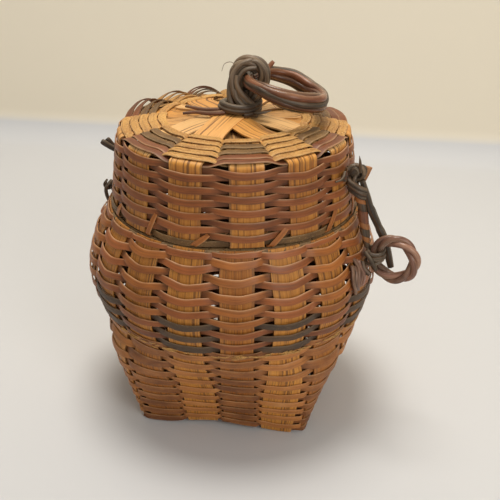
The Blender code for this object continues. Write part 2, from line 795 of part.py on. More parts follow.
def build_latch():
    bpy.ops.mesh.primitive_torus_add(
        location=lug_place, rotation=facing(latch_angle), major_radius=lug_radius,
        minor_radius=lug_wire, major_segments=20, minor_segments=8)
    adopt_piece("latch_lug", "black_rattan", lid_axis)

    bpy.ops.mesh.primitive_uv_sphere_add(segments=12, ring_count=8, radius=1)
    knot = adopt_piece("latch_knot", "black_rattan")
    knot_height = lug_height - lug_wire
    seat = lid_radius(knot_height) + gap + knot_size[0]
    shape_blob(knot, outward(knot_angle) * seat + Vector((0, 0, knot_height)), knot_angle, knot_size)
    hang(knot, lid_axis)

    strap_eye_radius = lug_wire + eye_clearance + strap_eye_wire
    low = lug_height - lug_radius
    bpy.ops.mesh.primitive_torus_add(
        location=latch_place(lug_reach, low), rotation=(0, math.pi / 2, latch_angle),
        major_radius=strap_eye_radius, minor_radius=strap_eye_wire,
        major_segments=20, minor_segments=8)
    adopt_piece("strap_eye", "black_rattan", latch_strap_axis)

    leg_top = low - strap_eye_radius - strap_eye_wire - gap
    leg_low = binding_high + gap
    seat_reach = binding_reach - binding_outer + binding_thick / 2
    route = [(lug_reach, leg_top), (lug_reach, leg_top - inner_leg_radius)]
    for out_share, down_share in inner_leg_shares:
        reach = lug_reach + out_share * (seat_reach - lug_reach)
        route.append((reach, leg_top + down_share * (leg_low - leg_top)))
    route += [(seat_reach, leg_low + 2 * inner_leg_radius), (seat_reach, leg_low)]
    inner = []
    for reach, height in route:
        clear = wall_reach(height) + belly_clearance + inner_leg_radius
        inner.append(latch_place(max(reach, clear), height))
    add_tube("strap_leg_inner", smooth_path(inner, 12), inner_leg_radius, "black_rattan", latch_strap_axis)

    drop = lug_height - latch_ring_height
    spread = binding_reach + latch_ring_radius - lug_reach
    outer = []
    for out_share, up_share in outer_leg_top_shares:
        reach = lug_reach + out_share * (lug_radius + lug_wire)
        outer.append(latch_place(reach, lug_height + up_share * (lug_radius + lug_wire)))
    for out_share, up_share, behind_share in outer_leg_shares:
        reach = lug_reach + out_share * spread
        height = lug_height + up_share * drop
        outer.append(latch_place(reach, height, behind_share * outer_leg_behind))
    add_tube("strap_leg_outer", smooth_path(outer, 18), outer_leg_radius, "black_rattan", latch_strap_axis)

    half = binding_height / 2
    edge = binding_thick / 3
    sleeve = [
        (binding_bore + edge, half),
        (binding_outer - edge, half),
        (binding_outer, half - edge),
        (binding_outer, edge - half),
        (binding_outer - edge, -half),
        (binding_bore + edge, -half),
        (binding_bore, edge - half),
        (binding_bore, half - edge),
    ]
    add_turned("ring_binding", sleeve, 20, binding_place, "black_rattan", latch_strap_axis, closed=True)

    out = outward(latch_angle)
    centre = binding_place + out * latch_ring_radius
    size = (latch_ring_radius, latch_strand_offset, latch_strand_radius)
    points = wound_points(centre, -out, Vector((0, 0, 1)), *size, math.pi / 2)
    free = least_gap(points, latch_strand_radius, latch_ring_radius)
    print(f"latch_ring least gap {free * 1000:.2f} mm")
    add_tube("latch_ring", points, latch_strand_radius, "red_rattan", latch_ring_axis, 1)

    bpy.ops.mesh.primitive_uv_sphere_add(segments=12, ring_count=8, radius=1)
    lug = adopt_piece("body_lug", "black_rattan")
    seat = body_radius(body_lug_angle, body_lug_height) + gap + body_lug_size[0]
    place = outward(body_lug_angle) * seat + Vector((0, 0, body_lug_height))
    shape_blob(lug, place, body_lug_angle, body_lug_size)


def shape_blob(piece, place, angle, size):
    """Turns a unit ball into a lump with these half sizes: out, along the wall, up."""
    turn = Matrix.Rotation(angle, 4, "Z")
    scale = Matrix.Diagonal((*size, 1.0))
    piece.data.transform(turn @ scale)
    piece.location = place


# Hinge

def build_hinge():
    mean = pin_radius + pin_clearance + hinge_thick / 2
    route = []
    count = 12
    for k in range(count + 1):
        turn = -hinge_roll * (1 - k / count)
        offset = Vector((mean * math.cos(turn), 0, mean * math.sin(turn)))
        route.append(hinge_place + offset)
    for share in hinge_strap_shares:
        height = hinge_place.z + hinge_strap_top * share
        reach = lid_radius(height) + gap + hinge_thick / 2
        route.append(Vector((-reach, 0, height)))
    side = Vector((0, hinge_width / 2, 0))
    columns = ([p - side for p in route], [p + side for p in route])
    strap = add_strip("hinge_strap", columns, "black_rattan", hinge_thick, lid_axis)
    strap.modifiers["thickness"].offset = 0

    side = pin_half + pin_radius
    foot_height = hinge_place.z - staple_drop
    foot_reach = body_radius(math.pi, foot_height) + gap + pin_radius
    knee_height = hinge_place.z - 2 * pin_radius
    staple = []
    for sign in (-1, 1):
        leg = [
            Vector((-foot_reach, sign * side, foot_height)),
            Vector((-foot_reach, sign * side, (foot_height + knee_height) / 2)),
            Vector((-hinge_reach, sign * side, knee_height)),
            Vector((-hinge_reach, sign * (side - pin_radius / 3), hinge_place.z - pin_radius / 2)),
            Vector((-hinge_reach, sign * pin_half, hinge_place.z)),
        ]
        staple += leg if sign < 0 else reversed(leg)
    add_tube("hinge_staple", staple, pin_radius, "black_rattan")

    tie_base = hinge_place.z + hinge_strap_top + gap + pin_radius
    reach = lid_radius(tie_base) + gap
    tie = [
        Vector((-reach, 0, tie_base)),
        Vector((-reach - tie_reach / 2, 0, tie_base + tie_rise / 5)),
        Vector((-reach - tie_reach, 0, tie_base + tie_rise)),
    ]
    add_tube("hinge_tie", smooth_path(tie, 7), pin_radius, "black_rattan", lid_axis)


build_base()
build_body()
build_neck()
build_lid()
build_lid_top()
build_stitches()
build_knob()
build_top_ring()
build_latch()
build_hinge()
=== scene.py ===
import math

import bpy
import numpy as np
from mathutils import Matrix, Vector


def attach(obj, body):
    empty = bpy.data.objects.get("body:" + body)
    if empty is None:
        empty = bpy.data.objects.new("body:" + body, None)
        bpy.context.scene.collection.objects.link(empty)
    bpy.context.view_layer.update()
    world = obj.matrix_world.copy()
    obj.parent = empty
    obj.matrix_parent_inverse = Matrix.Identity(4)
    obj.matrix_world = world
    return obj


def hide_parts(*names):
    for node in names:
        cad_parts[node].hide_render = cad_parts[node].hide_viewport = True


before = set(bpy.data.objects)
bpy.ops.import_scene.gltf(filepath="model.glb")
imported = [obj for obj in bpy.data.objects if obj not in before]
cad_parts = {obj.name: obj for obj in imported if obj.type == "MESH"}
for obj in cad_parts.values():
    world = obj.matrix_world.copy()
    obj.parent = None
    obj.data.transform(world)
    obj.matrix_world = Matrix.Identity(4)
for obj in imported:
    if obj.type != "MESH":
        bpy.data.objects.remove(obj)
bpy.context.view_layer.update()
toMetres = 0.001        # every size below is in millimetres
rng = np.random.default_rng(7)


# Camera, floor and light

view = {
    "place": (55.3, -351.1, 247.0),
    "turn": 9.0,            # degrees, towards +X
    "tilt": 26.4,           # degrees, down
    "lens": 62.93,
    "shift": 0.033,
}


def makeCamera():
    turn, tilt = math.radians(view["turn"]), math.radians(view["tilt"])
    ahead = Vector((-math.sin(turn) * math.cos(tilt), math.cos(turn) * math.cos(tilt), -math.sin(tilt)))
    data = bpy.data.cameras.new("basketCamera")
    data.lens = view["lens"]
    data.sensor_width = 36
    data.shift_x = view["shift"]
    data.clip_start = 0.01
    camera = bpy.data.objects.new("basketCamera", data)
    camera.location = Vector(view["place"]) * toMetres
    camera.rotation_euler = ahead.to_track_quat("-Z", "Y").to_euler()
    bpy.context.scene.collection.objects.link(camera)
    bpy.context.scene.camera = camera
    bpy.context.scene.view_settings.view_transform = "Standard"


room = {
    "floorTone": (0.61, 0.61, 0.61),
    "wallTone": (0.82, 0.745, 0.60),
    "wallDistance": 330,     # behind the basket
    "bend": 25,              # radius where the floor turns up into the wall
    "bendSteps": 12,
    "half": 6000,
    "height": 1500,
    "worldTone": (1.0, 0.985, 0.96),
    "worldStrength": 0.36,
    "beyondTone": (0.66, 0.60, 0.50),
    "aim": (0, 0, 70),       # what the lamps point at
    "lamps": (               # name, place, size, power, tone
        ("lampAbove", (-40, 60, 900), 380, 5.4, (1.0, 0.96, 0.90)),
        ("lampRight", (500, -650, 500), 450, 2.7, (1.0, 0.97, 0.92)),
    ),
}


def makeRoom():
    half, back, bend = room["half"], room["wallDistance"], room["bend"]
    profile = [(-half, 0.0), (back - bend, 0.0)]
    for k in range(1, room["bendSteps"] + 1):
        turn = math.radians(90 * k / room["bendSteps"])
        profile.append((back - bend + bend * math.sin(turn), bend * (1 - math.cos(turn))))
    profile.append((back, room["height"]))
    points = [(x * toMetres, y * toMetres, z * toMetres) for y, z in profile for x in (-half, half)]
    faces = [(2 * k, 2 * k + 1, 2 * k + 3, 2 * k + 2) for k in range(len(profile) - 1)]
    mesh = bpy.data.meshes.new("studioSweep")
    mesh.from_pydata(points, [], faces)
    mesh.shade_smooth()
    mesh.materials.append(roomMaterial())
    sweep = bpy.data.objects.new("studioSweep", mesh)
    bpy.context.scene.collection.objects.link(sweep)


def roomMaterial():
    material, tree, shader = newMaterial("studioPaper")
    place = tree.nodes.new("ShaderNodeNewGeometry")
    parts = tree.nodes.new("ShaderNodeSeparateXYZ")
    tree.links.new(place.outputs["Position"], parts.inputs[0])
    wall = room["wallDistance"]
    rise = ranged(tree, parts.outputs["Y"], (wall - 3) * toMetres, wall * toMetres)
    tree.links.new(mixTone(tree, rise, room["floorTone"], room["wallTone"]), shader.inputs["Base Color"])
    cloud = noiseAt(tree, place.outputs["Position"], 3.0, 3.0, 0.6)
    tree.links.new(ranged(tree, cloud, 0.0, 1.0, 0.7, 0.9), shader.inputs["Roughness"])
    # clear from behind, so that the wall hides nothing from a camera that stands beyond it
    clear = tree.nodes.new("ShaderNodeBsdfTransparent")
    mixShader(tree, place.outputs["Backfacing"], shader, clear, "Material Output")
    return material


def makeLight():
    world = bpy.data.worlds.new("softRoom")
    bpy.context.scene.world = world
    world.use_nodes = True
    tree = world.node_tree
    sky = tree.nodes["Background"]
    sky.inputs["Color"].default_value = (*room["worldTone"], 1)
    sky.inputs["Strength"].default_value = room["worldStrength"]
    # what is seen past the paper, also in a gloss, is as pale as the paper
    seen = tree.nodes.new("ShaderNodeBackground")
    seen.inputs["Color"].default_value = (*room["beyondTone"], 1)
    rays = tree.nodes.new("ShaderNodeLightPath").outputs
    looked = mathNode(tree, "MAXIMUM", rays["Is Camera Ray"], rays["Is Glossy Ray"])
    looked = mathNode(tree, "MAXIMUM", looked, rays["Is Transmission Ray"])
    mixShader(tree, looked, sky, seen, "World Output")
    for name, place, size, power, tone in room["lamps"]:
        lamp = bpy.data.lights.new(name, "AREA")
        lamp.shape = "DISK"
        lamp.size = size * toMetres
        lamp.energy = power
        lamp.color = tone
        holder = bpy.data.objects.new(name, lamp)
        holder.location = Vector(place) * toMetres
        aim = Vector(room["aim"]) * toMetres - holder.location
        holder.rotation_euler = aim.to_track_quat("-Z", "Y").to_euler()
        bpy.context.scene.collection.objects.link(holder)


# Node helpers

def newMaterial(name):
    material = bpy.data.materials.new(name)
    material.use_nodes = True
    return material, material.node_tree, material.node_tree.nodes["Principled BSDF"]


def toLinear(tone):
    shares = [c / 255 for c in tone]
    return tuple(s / 12.92 if s <= 0.04045 else ((s + 0.055) / 1.055) ** 2.4 for s in shares)


def setSocket(tree, socket, value):
    # links an output, or sets a number or a colour
    if isinstance(value, (int, float)):
        socket.default_value = value
    elif isinstance(value, tuple):
        socket.default_value = (*value, 1)
    else:
        tree.links.new(value, socket)


def mathNode(tree, kind, a, b, clamp=False):
    node = tree.nodes.new("ShaderNodeMath")
    node.operation = kind
    node.use_clamp = clamp
    setSocket(tree, node.inputs[0], a)
    setSocket(tree, node.inputs[1], b)
    return node.outputs[0]


def times(tree, *values):
    total = values[0]
    for value in values[1:]:
        total = mathNode(tree, "MULTIPLY", total, value)
    return total


def mixTone(tree, factor, a, b):
    node = tree.nodes.new("ShaderNodeMix")
    node.data_type = "RGBA"
    for label, value in (("Factor_Float", factor), ("A_Color", a), ("B_Color", b)):
        setSocket(tree, next(s for s in node.inputs if s.identifier == label), value)
    return next(s for s in node.outputs if s.identifier == "Result_Color")


def mixShader(tree, factor, a, b, end):
    node = tree.nodes.new("ShaderNodeMixShader")
    tree.links.new(factor, node.inputs["Fac"])
    tree.links.new(a.outputs[0], node.inputs[1])
    tree.links.new(b.outputs[0], node.inputs[2])
    tree.links.new(node.outputs[0], tree.nodes[end].inputs["Surface"])


def noiseAt(tree, vector, scale, detail, roughness):
    node = tree.nodes.new("ShaderNodeTexNoise")
    for label, value in (("Scale", scale), ("Detail", detail), ("Roughness", roughness), ("Vector", vector)):
        setSocket(tree, node.inputs[label], value)
    return node.outputs["Fac"]


def grainAt(tree, vector, stretch, detail, roughness):
    # noise stretched along a strip; the third number keeps one strip's grain from the next one's
    node = tree.nodes.new("ShaderNodeVectorMath")
    node.operation = "MULTIPLY"
    node.inputs[1].default_value = stretch
    tree.links.new(vector, node.inputs[0])
    return noiseAt(tree, node.outputs[0], 1.0, detail, roughness)


def ranged(tree, value, low, high, toLow=0.0, toHigh=1.0):
    node = tree.nodes.new("ShaderNodeMapRange")
    node.interpolation_type = "SMOOTHSTEP"
    for label, setting in (("Value", value), ("From Min", low), ("From Max", high),
                           ("To Min", toLow), ("To Max", toHigh)):
        setSocket(tree, node.inputs[label], setting)
    return node.outputs["Result"]


# what sets one finish apart from another, in the order of the numbers in finishes
splitLooks = ("pale", "deep", "lineDepth", "fibreDepth", "blotchDepth", "edgeWearAndHighlight", "speckle", "roughLow",
              "roughHigh")
splitTones = {
    "bleachedAndLit": (0.78, 0.50, 0.22),
    "crack": (0.16, 0.062, 0.018),
    "wornAndLit": (0.85, 0.62, 0.36),
    "spot": (0.62, 0.42, 0.17),
    "grimeAndShade": (0.035, 0.018, 0.009),
}


def makeSplitGroup():
    # lengthwise fibres, blotches, rubbed edges and grime of a bamboo or rattan split, with painted
    # highlights on edges and painted shade in the grime place holds along, across and strip number, and
    # marks holds tone, edge and grime; the edge mark also paints highlights, and the grime mark also paints
    # shade
    group = bpy.data.node_groups.new("splitSurface", "ShaderNodeTree")
    for way, kind, labels in (("INPUT", "Vector", ("place", "marks")), ("INPUT", "Color", splitLooks[:2]),
                              ("INPUT", "Float", splitLooks[2:]), ("OUTPUT", "Color", ("colour",)),
                              ("OUTPUT", "Float", ("roughness", "height"))):
        for label in labels:
            group.interface.new_socket(label, in_out=way, socket_type="NodeSocket" + kind)
    start = group.nodes.new("NodeGroupInput").outputs
    end = group.nodes.new("NodeGroupOutput").inputs
    parts = group.nodes.new("ShaderNodeSeparateXYZ")
    group.links.new(start["marks"], parts.inputs[0])
    tone, edge, grimeAndShade = parts.outputs

    fibres = grainAt(group, start["place"], (0.035, 1.5, 13.7), 4.0, 0.75)
    lines = grainAt(group, start["place"], (0.03, 1.15, 5.1), 1.0, 0.5)
    blotches = grainAt(group, start["place"], (0.11, 0.22, 3.3), 3.0, 0.6)
    flecks = grainAt(group, start["place"], (1.1, 1.4, 1.9), 2.0, 0.7)

    swing = times(group, mathNode(group, "SUBTRACT", fibres, 0.5), start["fibreDepth"], 2.4)
    patch = times(group, mathNode(group, "SUBTRACT", blotches, 0.5), start["blotchDepth"], 2.2)
    factor = mathNode(group, "ADD", mathNode(group, "ADD", tone, swing), patch, True)
    colour = mixTone(group, factor, start["deep"], start["pale"])
    # the palest tones turn toward a bleached colour; on the lid's top, where the tone is raised, this is
    # painted light from above
    bleachedAndLit = times(group, ranged(group, tone, 0.85, 1.3), ranged(group, fibres, 0.3, 0.6, 0.55, 1.0))
    colour = mixTone(group, bleachedAndLit, colour, splitTones["bleachedAndLit"])
    cracks = times(group, ranged(group, lines, 0.47, 0.34), start["lineDepth"])
    colour = mixTone(group, cracks, colour, splitTones["crack"])
    # edges turn pale: worn edges, and a painted highlight along the upper edge of each woven strip
    wornAndLit = times(group, edge, start["edgeWearAndHighlight"], ranged(group, blotches, 0.3, 0.6, 0.4, 1.0))
    colour = mixTone(group, wornAndLit, colour, mixTone(group, 0.55, start["pale"], splitTones["wornAndLit"]))
    spots = times(group, ranged(group, flecks, 0.56, 0.66), start["speckle"])
    colour = mixTone(group, spots, colour, splitTones["spot"])
    # pits and the grime mark darken toward the grime colour, which is also painted shade where strips pass
    # behind others
    pits = times(group, ranged(group, flecks, 0.42, 0.30), start["speckle"])
    colour = mixTone(group, mathNode(group, "ADD", pits, grimeAndShade, True), colour, splitTones["grimeAndShade"])
    group.links.new(colour, end["colour"])

    rough = mathNode(group, "ADD", ranged(group, fibres, 0.3, 0.7), grimeAndShade, True)
    rough = times(group, rough, mathNode(group, "SUBTRACT", start["roughHigh"], start["roughLow"]))
    group.links.new(mathNode(group, "ADD", rough, start["roughLow"]), end["roughness"])
    height = times(group, flecks, start["speckle"])
    group.links.new(mathNode(group, "ADD", height, fibres), end["height"])
    return group


# the numbers of splitLooks, with colours from 0 to 255, then how strong the relief is
finishes = {
    "goldSplit": ((212, 146, 64), (160, 94, 34), (0.85, 1.0, 0.4, 0.1, 0.0), (0.40, 0.60), 0.35),
    "redSplit": ((162, 92, 45), (100, 53, 26), (0.35, 0.65, 0.4, 0.55, 0.0), (0.36, 0.52), 0.2),
    "orangeSplit": ((176, 106, 46), (122, 68, 30), (0.35, 0.7, 0.45, 0.5, 0.0), (0.36, 0.52), 0.2),
    "oliveSplit": ((134, 98, 52), (84, 60, 34), (0.3, 0.5, 0.6, 0.35, 0.2), (0.45, 0.65), 0.3),
    "darkSplit": ((96, 72, 52), (60, 48, 38), (0.2, 0.4, 0.45, 0.25, 0.05), (0.45, 0.65), 0.25),
    "tanSplit": ((182, 116, 58), (112, 66, 36), (0.3, 0.5, 0.6, 0.4, 0.1), (0.42, 0.62), 0.3),
    "frayedSplit": ((206, 156, 84), (150, 100, 52), (0.4, 0.5, 0.5, 0.35, 0.65), (0.5, 0.75), 0.6),
    "blackRattan": ((124, 107, 89), (46, 38, 32), (0.4, 0.9, 0.5, 0.2, 0.0), (0.30, 0.5), 0.6),
    "plumRattan": ((152, 108, 90), (72, 50, 43), (0.4, 0.6, 0.7, 0.25, 0.0), (0.16, 0.32), 0.3),
    "redRattan": ((138, 80, 52), (68, 42, 32), (0.4, 0.6, 0.7, 0.2, 0.0), (0.18, 0.34), 0.3),
}
splitGloss = 0.35
splitRelief = 0.3       # how deep the relief is at its full strength


def splitMaterial(name, group):
    pale, deep, depths, rough, relief = finishes[name]
    material, tree, shader = newMaterial(name)
    surface = tree.nodes.new("ShaderNodeGroup")
    surface.node_tree = group
    for label, source in (("place", "grainPlace"), ("marks", "grainMarks")):
        read = tree.nodes.new("ShaderNodeAttribute")
        read.attribute_name = source
        tree.links.new(read.outputs["Vector"], surface.inputs[label])
    for label, value in zip(splitLooks, (toLinear(pale), toLinear(deep), *depths, *rough)):
        setSocket(tree, surface.inputs[label], value)
    bump = tree.nodes.new("ShaderNodeBump")
    bump.inputs["Strength"].default_value = relief
    bump.inputs["Distance"].default_value = splitRelief * toMetres
    tree.links.new(surface.outputs["height"], bump.inputs["Height"])
    shader.inputs["Specular IOR Level"].default_value = splitGloss
    tree.links.new(surface.outputs["colour"], shader.inputs["Base Color"])
    tree.links.new(surface.outputs["roughness"], shader.inputs["Roughness"])
    tree.links.new(bump.outputs["Normal"], shader.inputs["Normal"])
    return material


makeCamera()
makeRoom()
makeLight()
splitGroup = makeSplitGroup()
materials = {name: splitMaterial(name, splitGroup) for name in finishes}
print("camera, room and materials ready")


# Meshes made of strips and strands

sharpTurn = 40          # degrees between two faces, from which their edge is drawn sharp
curveSteps = 16         # steps from one given point of a smooth path to the next


def newHeap():
    return {"points": [], "faces": [], "slots": [], "place": [], "marks": [], "count": 0, "strips": 0}


def addGrid(heap, grid, along, across, tone, edge, grimeAndShade, slot=0, closed=False, flip=False):
    # grid holds rows of section points; the section is a closed loop, and an open strip gets end caps
    rows, sides = grid.shape[:2]
    first = heap["count"]
    heap["strips"] += 1
    spread = np.ones((rows, sides))
    along, tone, grimeAndShade = (np.asarray(v, float).reshape(-1, 1) * spread for v in (along, tone, grimeAndShade))
    across, edge = (np.asarray(v, float).reshape(1, -1) * spread for v in (across, edge))
    heap["points"].append(grid.reshape(-1, 3))
    heap["place"].append(np.stack([along, across, spread * heap["strips"]], -1).reshape(-1, 3))
    heap["marks"].append(np.stack([tone, edge, grimeAndShade], -1).reshape(-1, 3))
    here = np.arange(rows if closed else rows - 1)[:, None] * sides
    ahead = (here + sides) % (rows * sides)
    side = np.arange(sides)[None, :]
    beside = (side + 1) % sides
    quads = np.stack([here + side, ahead + side, ahead + beside, here + beside], -1).reshape(-1, 4) + first
    faces = quads.tolist()
    if not closed:
        last = first + (rows - 1) * sides
        faces += [list(range(first, first + sides)), list(range(last, last + sides))[::-1]]
    heap["faces"] += [face[::-1] for face in faces] if flip else faces
    heap["slots"] += [slot] * len(faces)
    heap["count"] += rows * sides


def pieceFrom(heap, name, finish, body, nodes):
    mesh = bpy.data.meshes.new(name)
    mesh.from_pydata((np.concatenate(heap["points"]) * toMetres).tolist(), [], heap["faces"])
    for label, key in (("grainPlace", "place"), ("grainMarks", "marks")):
        layer = mesh.attributes.new(label, "FLOAT_VECTOR", "POINT")
        layer.data.foreach_set("vector", np.concatenate(heap[key]).astype(np.float32).ravel())
    for entry in finish:
        mesh.materials.append(materials[entry])
    mesh.polygons.foreach_set("material_index", heap["slots"])
    mesh.shade_smooth()
    mesh.set_sharp_from_angle(angle=math.radians(sharpTurn))
    piece = bpy.data.objects.new(name, mesh)
    bpy.context.scene.collection.objects.link(piece)
    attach(piece, body)
    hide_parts(*nodes)


def smoothCurve(points, at):
    xs, ys = np.array(points, float).T
    slopes = np.gradient(ys, xs)
    at = np.asarray(at, float)
    k = np.clip(np.searchsorted(xs, at) - 1, 0, len(xs) - 2)
    span = xs[k + 1] - xs[k]
    t = np.clip((at - xs[k]) / span, 0, 1)
    start = (1 + 2 * t) * (1 - t) ** 2 * ys[k] + t * (1 - t) ** 2 * span * slopes[k]
    return start + t * t * (3 - 2 * t) * ys[k + 1] + t * t * (t - 1) * span * slopes[k + 1]


def smoothStep(t):
    t = np.clip(t, 0, 1)
    return t * t * (3 - 2 * t)


def pathLength(path):
    return np.concatenate([[0], np.cumsum(np.linalg.norm(np.diff(path, axis=0), axis=1))])


def smoothPath(points, count):
    # evenly spaced points on a smooth curve through the given ones
    knots = np.array(points, float)
    padded = np.vstack([2 * knots[0] - knots[1], knots, 2 * knots[-1] - knots[-2]])
    dense = []
    for k in range(len(knots) - 1):
        a, b, c, d = padded[k:k + 4]
        slope, square, cube = c - a, 2 * a - 5 * b + 4 * c - d, 3 * b - a - 3 * c + d
        for t in np.linspace(0, 1, curveSteps, endpoint=False):
            dense.append((2 * b + slope * t + square * t * t + cube * t ** 3) / 2)
    dense = np.array([*dense, knots[-1]])
    length = pathLength(dense)
    wanted = np.linspace(0, length[-1], count)
    return np.stack([np.interp(wanted, length, column) for column in dense.T], axis=1)


def unit(vectors):
    return vectors / np.maximum(np.linalg.norm(vectors, axis=-1, keepdims=True), 1e-9)


def pathFrames(path, closed=False, start=(0, 0, 1)):
    # two directions across the path, which turn as little as possible along it
    if closed:
        tangents = unit(np.roll(path, -1, axis=0) - np.roll(path, 1, axis=0))
    else:
        tangents = unit(np.gradient(path, axis=0))
    normal = np.array(start, float)
    normals = []
    for tangent in tangents:
        normal = normal - tangent * (normal @ tangent)
        if np.linalg.norm(normal) < 1e-6:
            normal = np.cross(tangent, (1.0, 0.2, 0.1))
        normal = normal / np.linalg.norm(normal)
        normals.append(normal)
    normals = np.array(normals)
    return normals, np.cross(tangents, normals)


def fullTurn(count):
    return np.linspace(0, math.tau, count, endpoint=False)


def layOut(path, *shifts):
    # rows of section points beside a path; a shift is a direction for each row, and how far each point lies
    grid = path[:, None]
    for direction, far in shifts:
        grid = grid + direction[:, None] * far[..., None]
    return grid


def addStrand(heap, path, radius, tone=0.4, grimeAndShade=0.0, slot=0, closed=False, sides=8, flat=1.0,
              start=(0, 0, 1)):
    # round or flattened cane along a path; radius may change along it
    normals, others = pathFrames(path, closed, start)
    radius = np.broadcast_to(np.asarray(radius, float), (len(path),))[:, None]
    turn = fullTurn(sides)
    grid = layOut(path, (normals, np.cos(turn) * radius * flat), (others, np.sin(turn) * radius))
    across = np.abs(turn / math.pi - 1) * math.pi * float(radius.mean())
    addGrid(heap, grid, pathLength(path), across, tone, 0.5 + 0.5 * np.cos(2 * turn), grimeAndShade, slot, closed)


def addCane(heap, points, radius, count=40, tone=0.4, grimeAndShade=0.0, slot=0, sides=8, flat=1.0,
            start=(0, 0, 1)):
    # strand on a smooth curve; radius is one number, one for each end, or places and radii along it
    if isinstance(radius, tuple) and isinstance(radius[0], tuple):
        radius = np.interp(np.linspace(0, 1, count), *radius)
    elif isinstance(radius, tuple):
        radius = np.linspace(*radius, count)
    addStrand(heap, smoothPath(points, count), radius, tone, grimeAndShade, slot, False, sides, flat, start)


def twisted(path, strands, offset, twists, phase, frames, closed=False):
    # paths of strands laid round each other along a path
    normals, others = frames
    share = np.arange(len(path)) / (len(path) if closed else len(path) - 1)
    for k in range(strands):
        turn = phase + math.tau * (k / strands + twists * share)
        yield path + (normals * np.cos(turn)[:, None] + others * np.sin(turn)[:, None]) * offset


def around(angle, reach=1.0, height=0.0):
    # points at an angle, a reach from the middle and a height
    return np.stack(np.broadcast_arrays(np.cos(angle) * reach, np.sin(angle) * reach, height), -1)


def wobble(count, size, smooth, closed=True):
    # seeded unevenness along a strip
    values = rng.normal(0, 1, count)
    for _ in range(smooth):
        values = (np.roll(values, 1) + 2 * values + np.roll(values, -1)) / 4
    if not closed:
        values -= np.linspace(values[0], values[-1], count)
    return values / max(values.std(), 1e-6) * size


split = {                # section of a woven strip, from its lower edge over the outer face and back
    "across": np.array([-1.0, -0.92, -0.4, 0.5, 0.8, 0.94, 1.0, 0.9, 0.0, -0.9]),
    "depth": np.array([-0.1, 0.42, 0.5, 0.48, 0.4, 0.3, -0.1, -0.44, -0.46, -0.44]),
    "edge": np.array([0.3, 0.1, 0.0, 0.0, 0.3, 1.0, 1.0, 0.3, 0.0, 0.1]),     # the upper edge is painted pale, a painted highlight of light from above
    "thick": 0.62,
    "over": -0.35,       # how far the middles lie from the wall's outer face
    "stave": -1.15,
    "under": -1.95,
    "steps": 16,         # rows of points for each stave
}


def addRow(heap, wall, staves, parity, z, width, slot, tone, reach, sag, tilt, bulge=0.12, lift=0.0,
           narrowing=0.0, flip=False):
    # one woven strip: over every second stave, behind the others; reach is half a stave's share of a pitch
    count = staves * split["steps"]
    u = np.arange(count) / split["steps"]
    own = np.abs((u - parity + 1) % 2 - 1)                  # 0 over its own staves, 1 behind the others
    crown = np.clip(np.cos(own * math.pi * 0.9), 0, 1)
    over = 1 - smoothStep((own - reach) / (1 - 2 * reach))
    rise = lift * crown                                     # where the row has come loose
    sprung = np.clip(rise / 2, 0, 1)
    offset = split["under"] + (split["over"] - split["under"]) * over + bulge * crown + rise
    level = z + sag * (1 - np.cos(math.tau * np.minimum(own, 0.5))) / 2 + wobble(count, 0.12, 6)
    perFloat = rng.normal(0, 1, staves)
    floatTone = np.interp(u, np.arange(staves + 1), np.append(perFloat, perFloat[0]))
    half = width / 2 * (1 - 0.08 * smoothStep(own * 2)) + wobble(count, 0.06, 4)
    half = half * (1 - narrowing * sprung)
    tilt = tilt * over * (1 - 1.8 * sprung)
    t, d = split["across"][None, :], split["depth"][None, :]
    grid = wall(u[:, None], level[:, None] + t * half[:, None],
                offset[:, None] + d * split["thick"] + tilt[:, None] * t)
    # painted shade where the strip passes behind the staves; the row is also darker where it has sprung up
    grimeAndShade = 0.5 * smoothStep((own - reach - 0.1) / 0.3) + 0.35 * sprung
    length = pathLength(wall(u, level, offset))
    addGrid(heap, grid, length, split["across"] * width / 2, tone + 0.12 * floatTone, split["edge"], grimeAndShade,
            slot, True, flip)


def faceAndBack(count):
    # places across a flat split, along its face and then its back, and their share of its thickness
    t = np.linspace(-1, 1, count)
    return np.concatenate([t, t[::-1]]), np.repeat((0.5, -0.5), count)


# Body: a square foot that turns into a round belly

bodyShape = {
    "profile": ((0, 38.0), (12.07, 41.51), (26.27, 47.04), (41.89, 56.07), (56.8, 61.59), (71, 63.1),
                (83.9, 60.02), (91.0, 57.41), (96.8, 55.2)),
    "squareHeight": 48.0,
    "fuller": 1.4,           # the belly stands out a little at the left
    "fullSide": -8,
    "cornerPower": 13.0,
    "footLift": 2.8,
    "liftHeight": 16.0,
    "wideSide": 5,           # staves on the sides of the foot, in turn
    "narrowSide": 4,
    "narrowDraw": 0.89,
    "staves": 18,
    "staveWidth": 13.6,
    "top": 96.8,
}


def squareness(z):
    return np.clip(1 - np.asarray(z, float) / bodyShape["squareHeight"], 0, 1) ** 1.5


def footAngles():
    # directions of the staves, and of the places halfway between them, round the square foot
    angles = []
    quarter = bodyShape["wideSide"] + bodyShape["narrowSide"]
    for place in range(4 * quarter + 1):
        for side in range(5):
            staves = (bodyShape["wideSide"], bodyShape["narrowSide"])[side % 2]
            away = place - side * quarter
            if abs(away) <= staves:
                drawn = 1 if side % 2 == 0 or abs(away) == staves else bodyShape["narrowDraw"]
                angles.append(side * math.pi / 2 + math.atan(drawn * away / staves))
                break
    return np.array(angles)


footTable = footAngles()


def footAngle(u):
    u = np.asarray(u, float)
    rounds = np.floor(u / bodyShape["staves"])
    place = 2 * (u - rounds * bodyShape["staves"])
    return np.interp(place, np.arange(len(footTable)), footTable) + rounds * math.tau


def bodyAngle(u, z):
    blend = squareness(z)
    return (1 - blend) * np.asarray(u, float) * math.tau / bodyShape["staves"] + blend * footAngle(u)


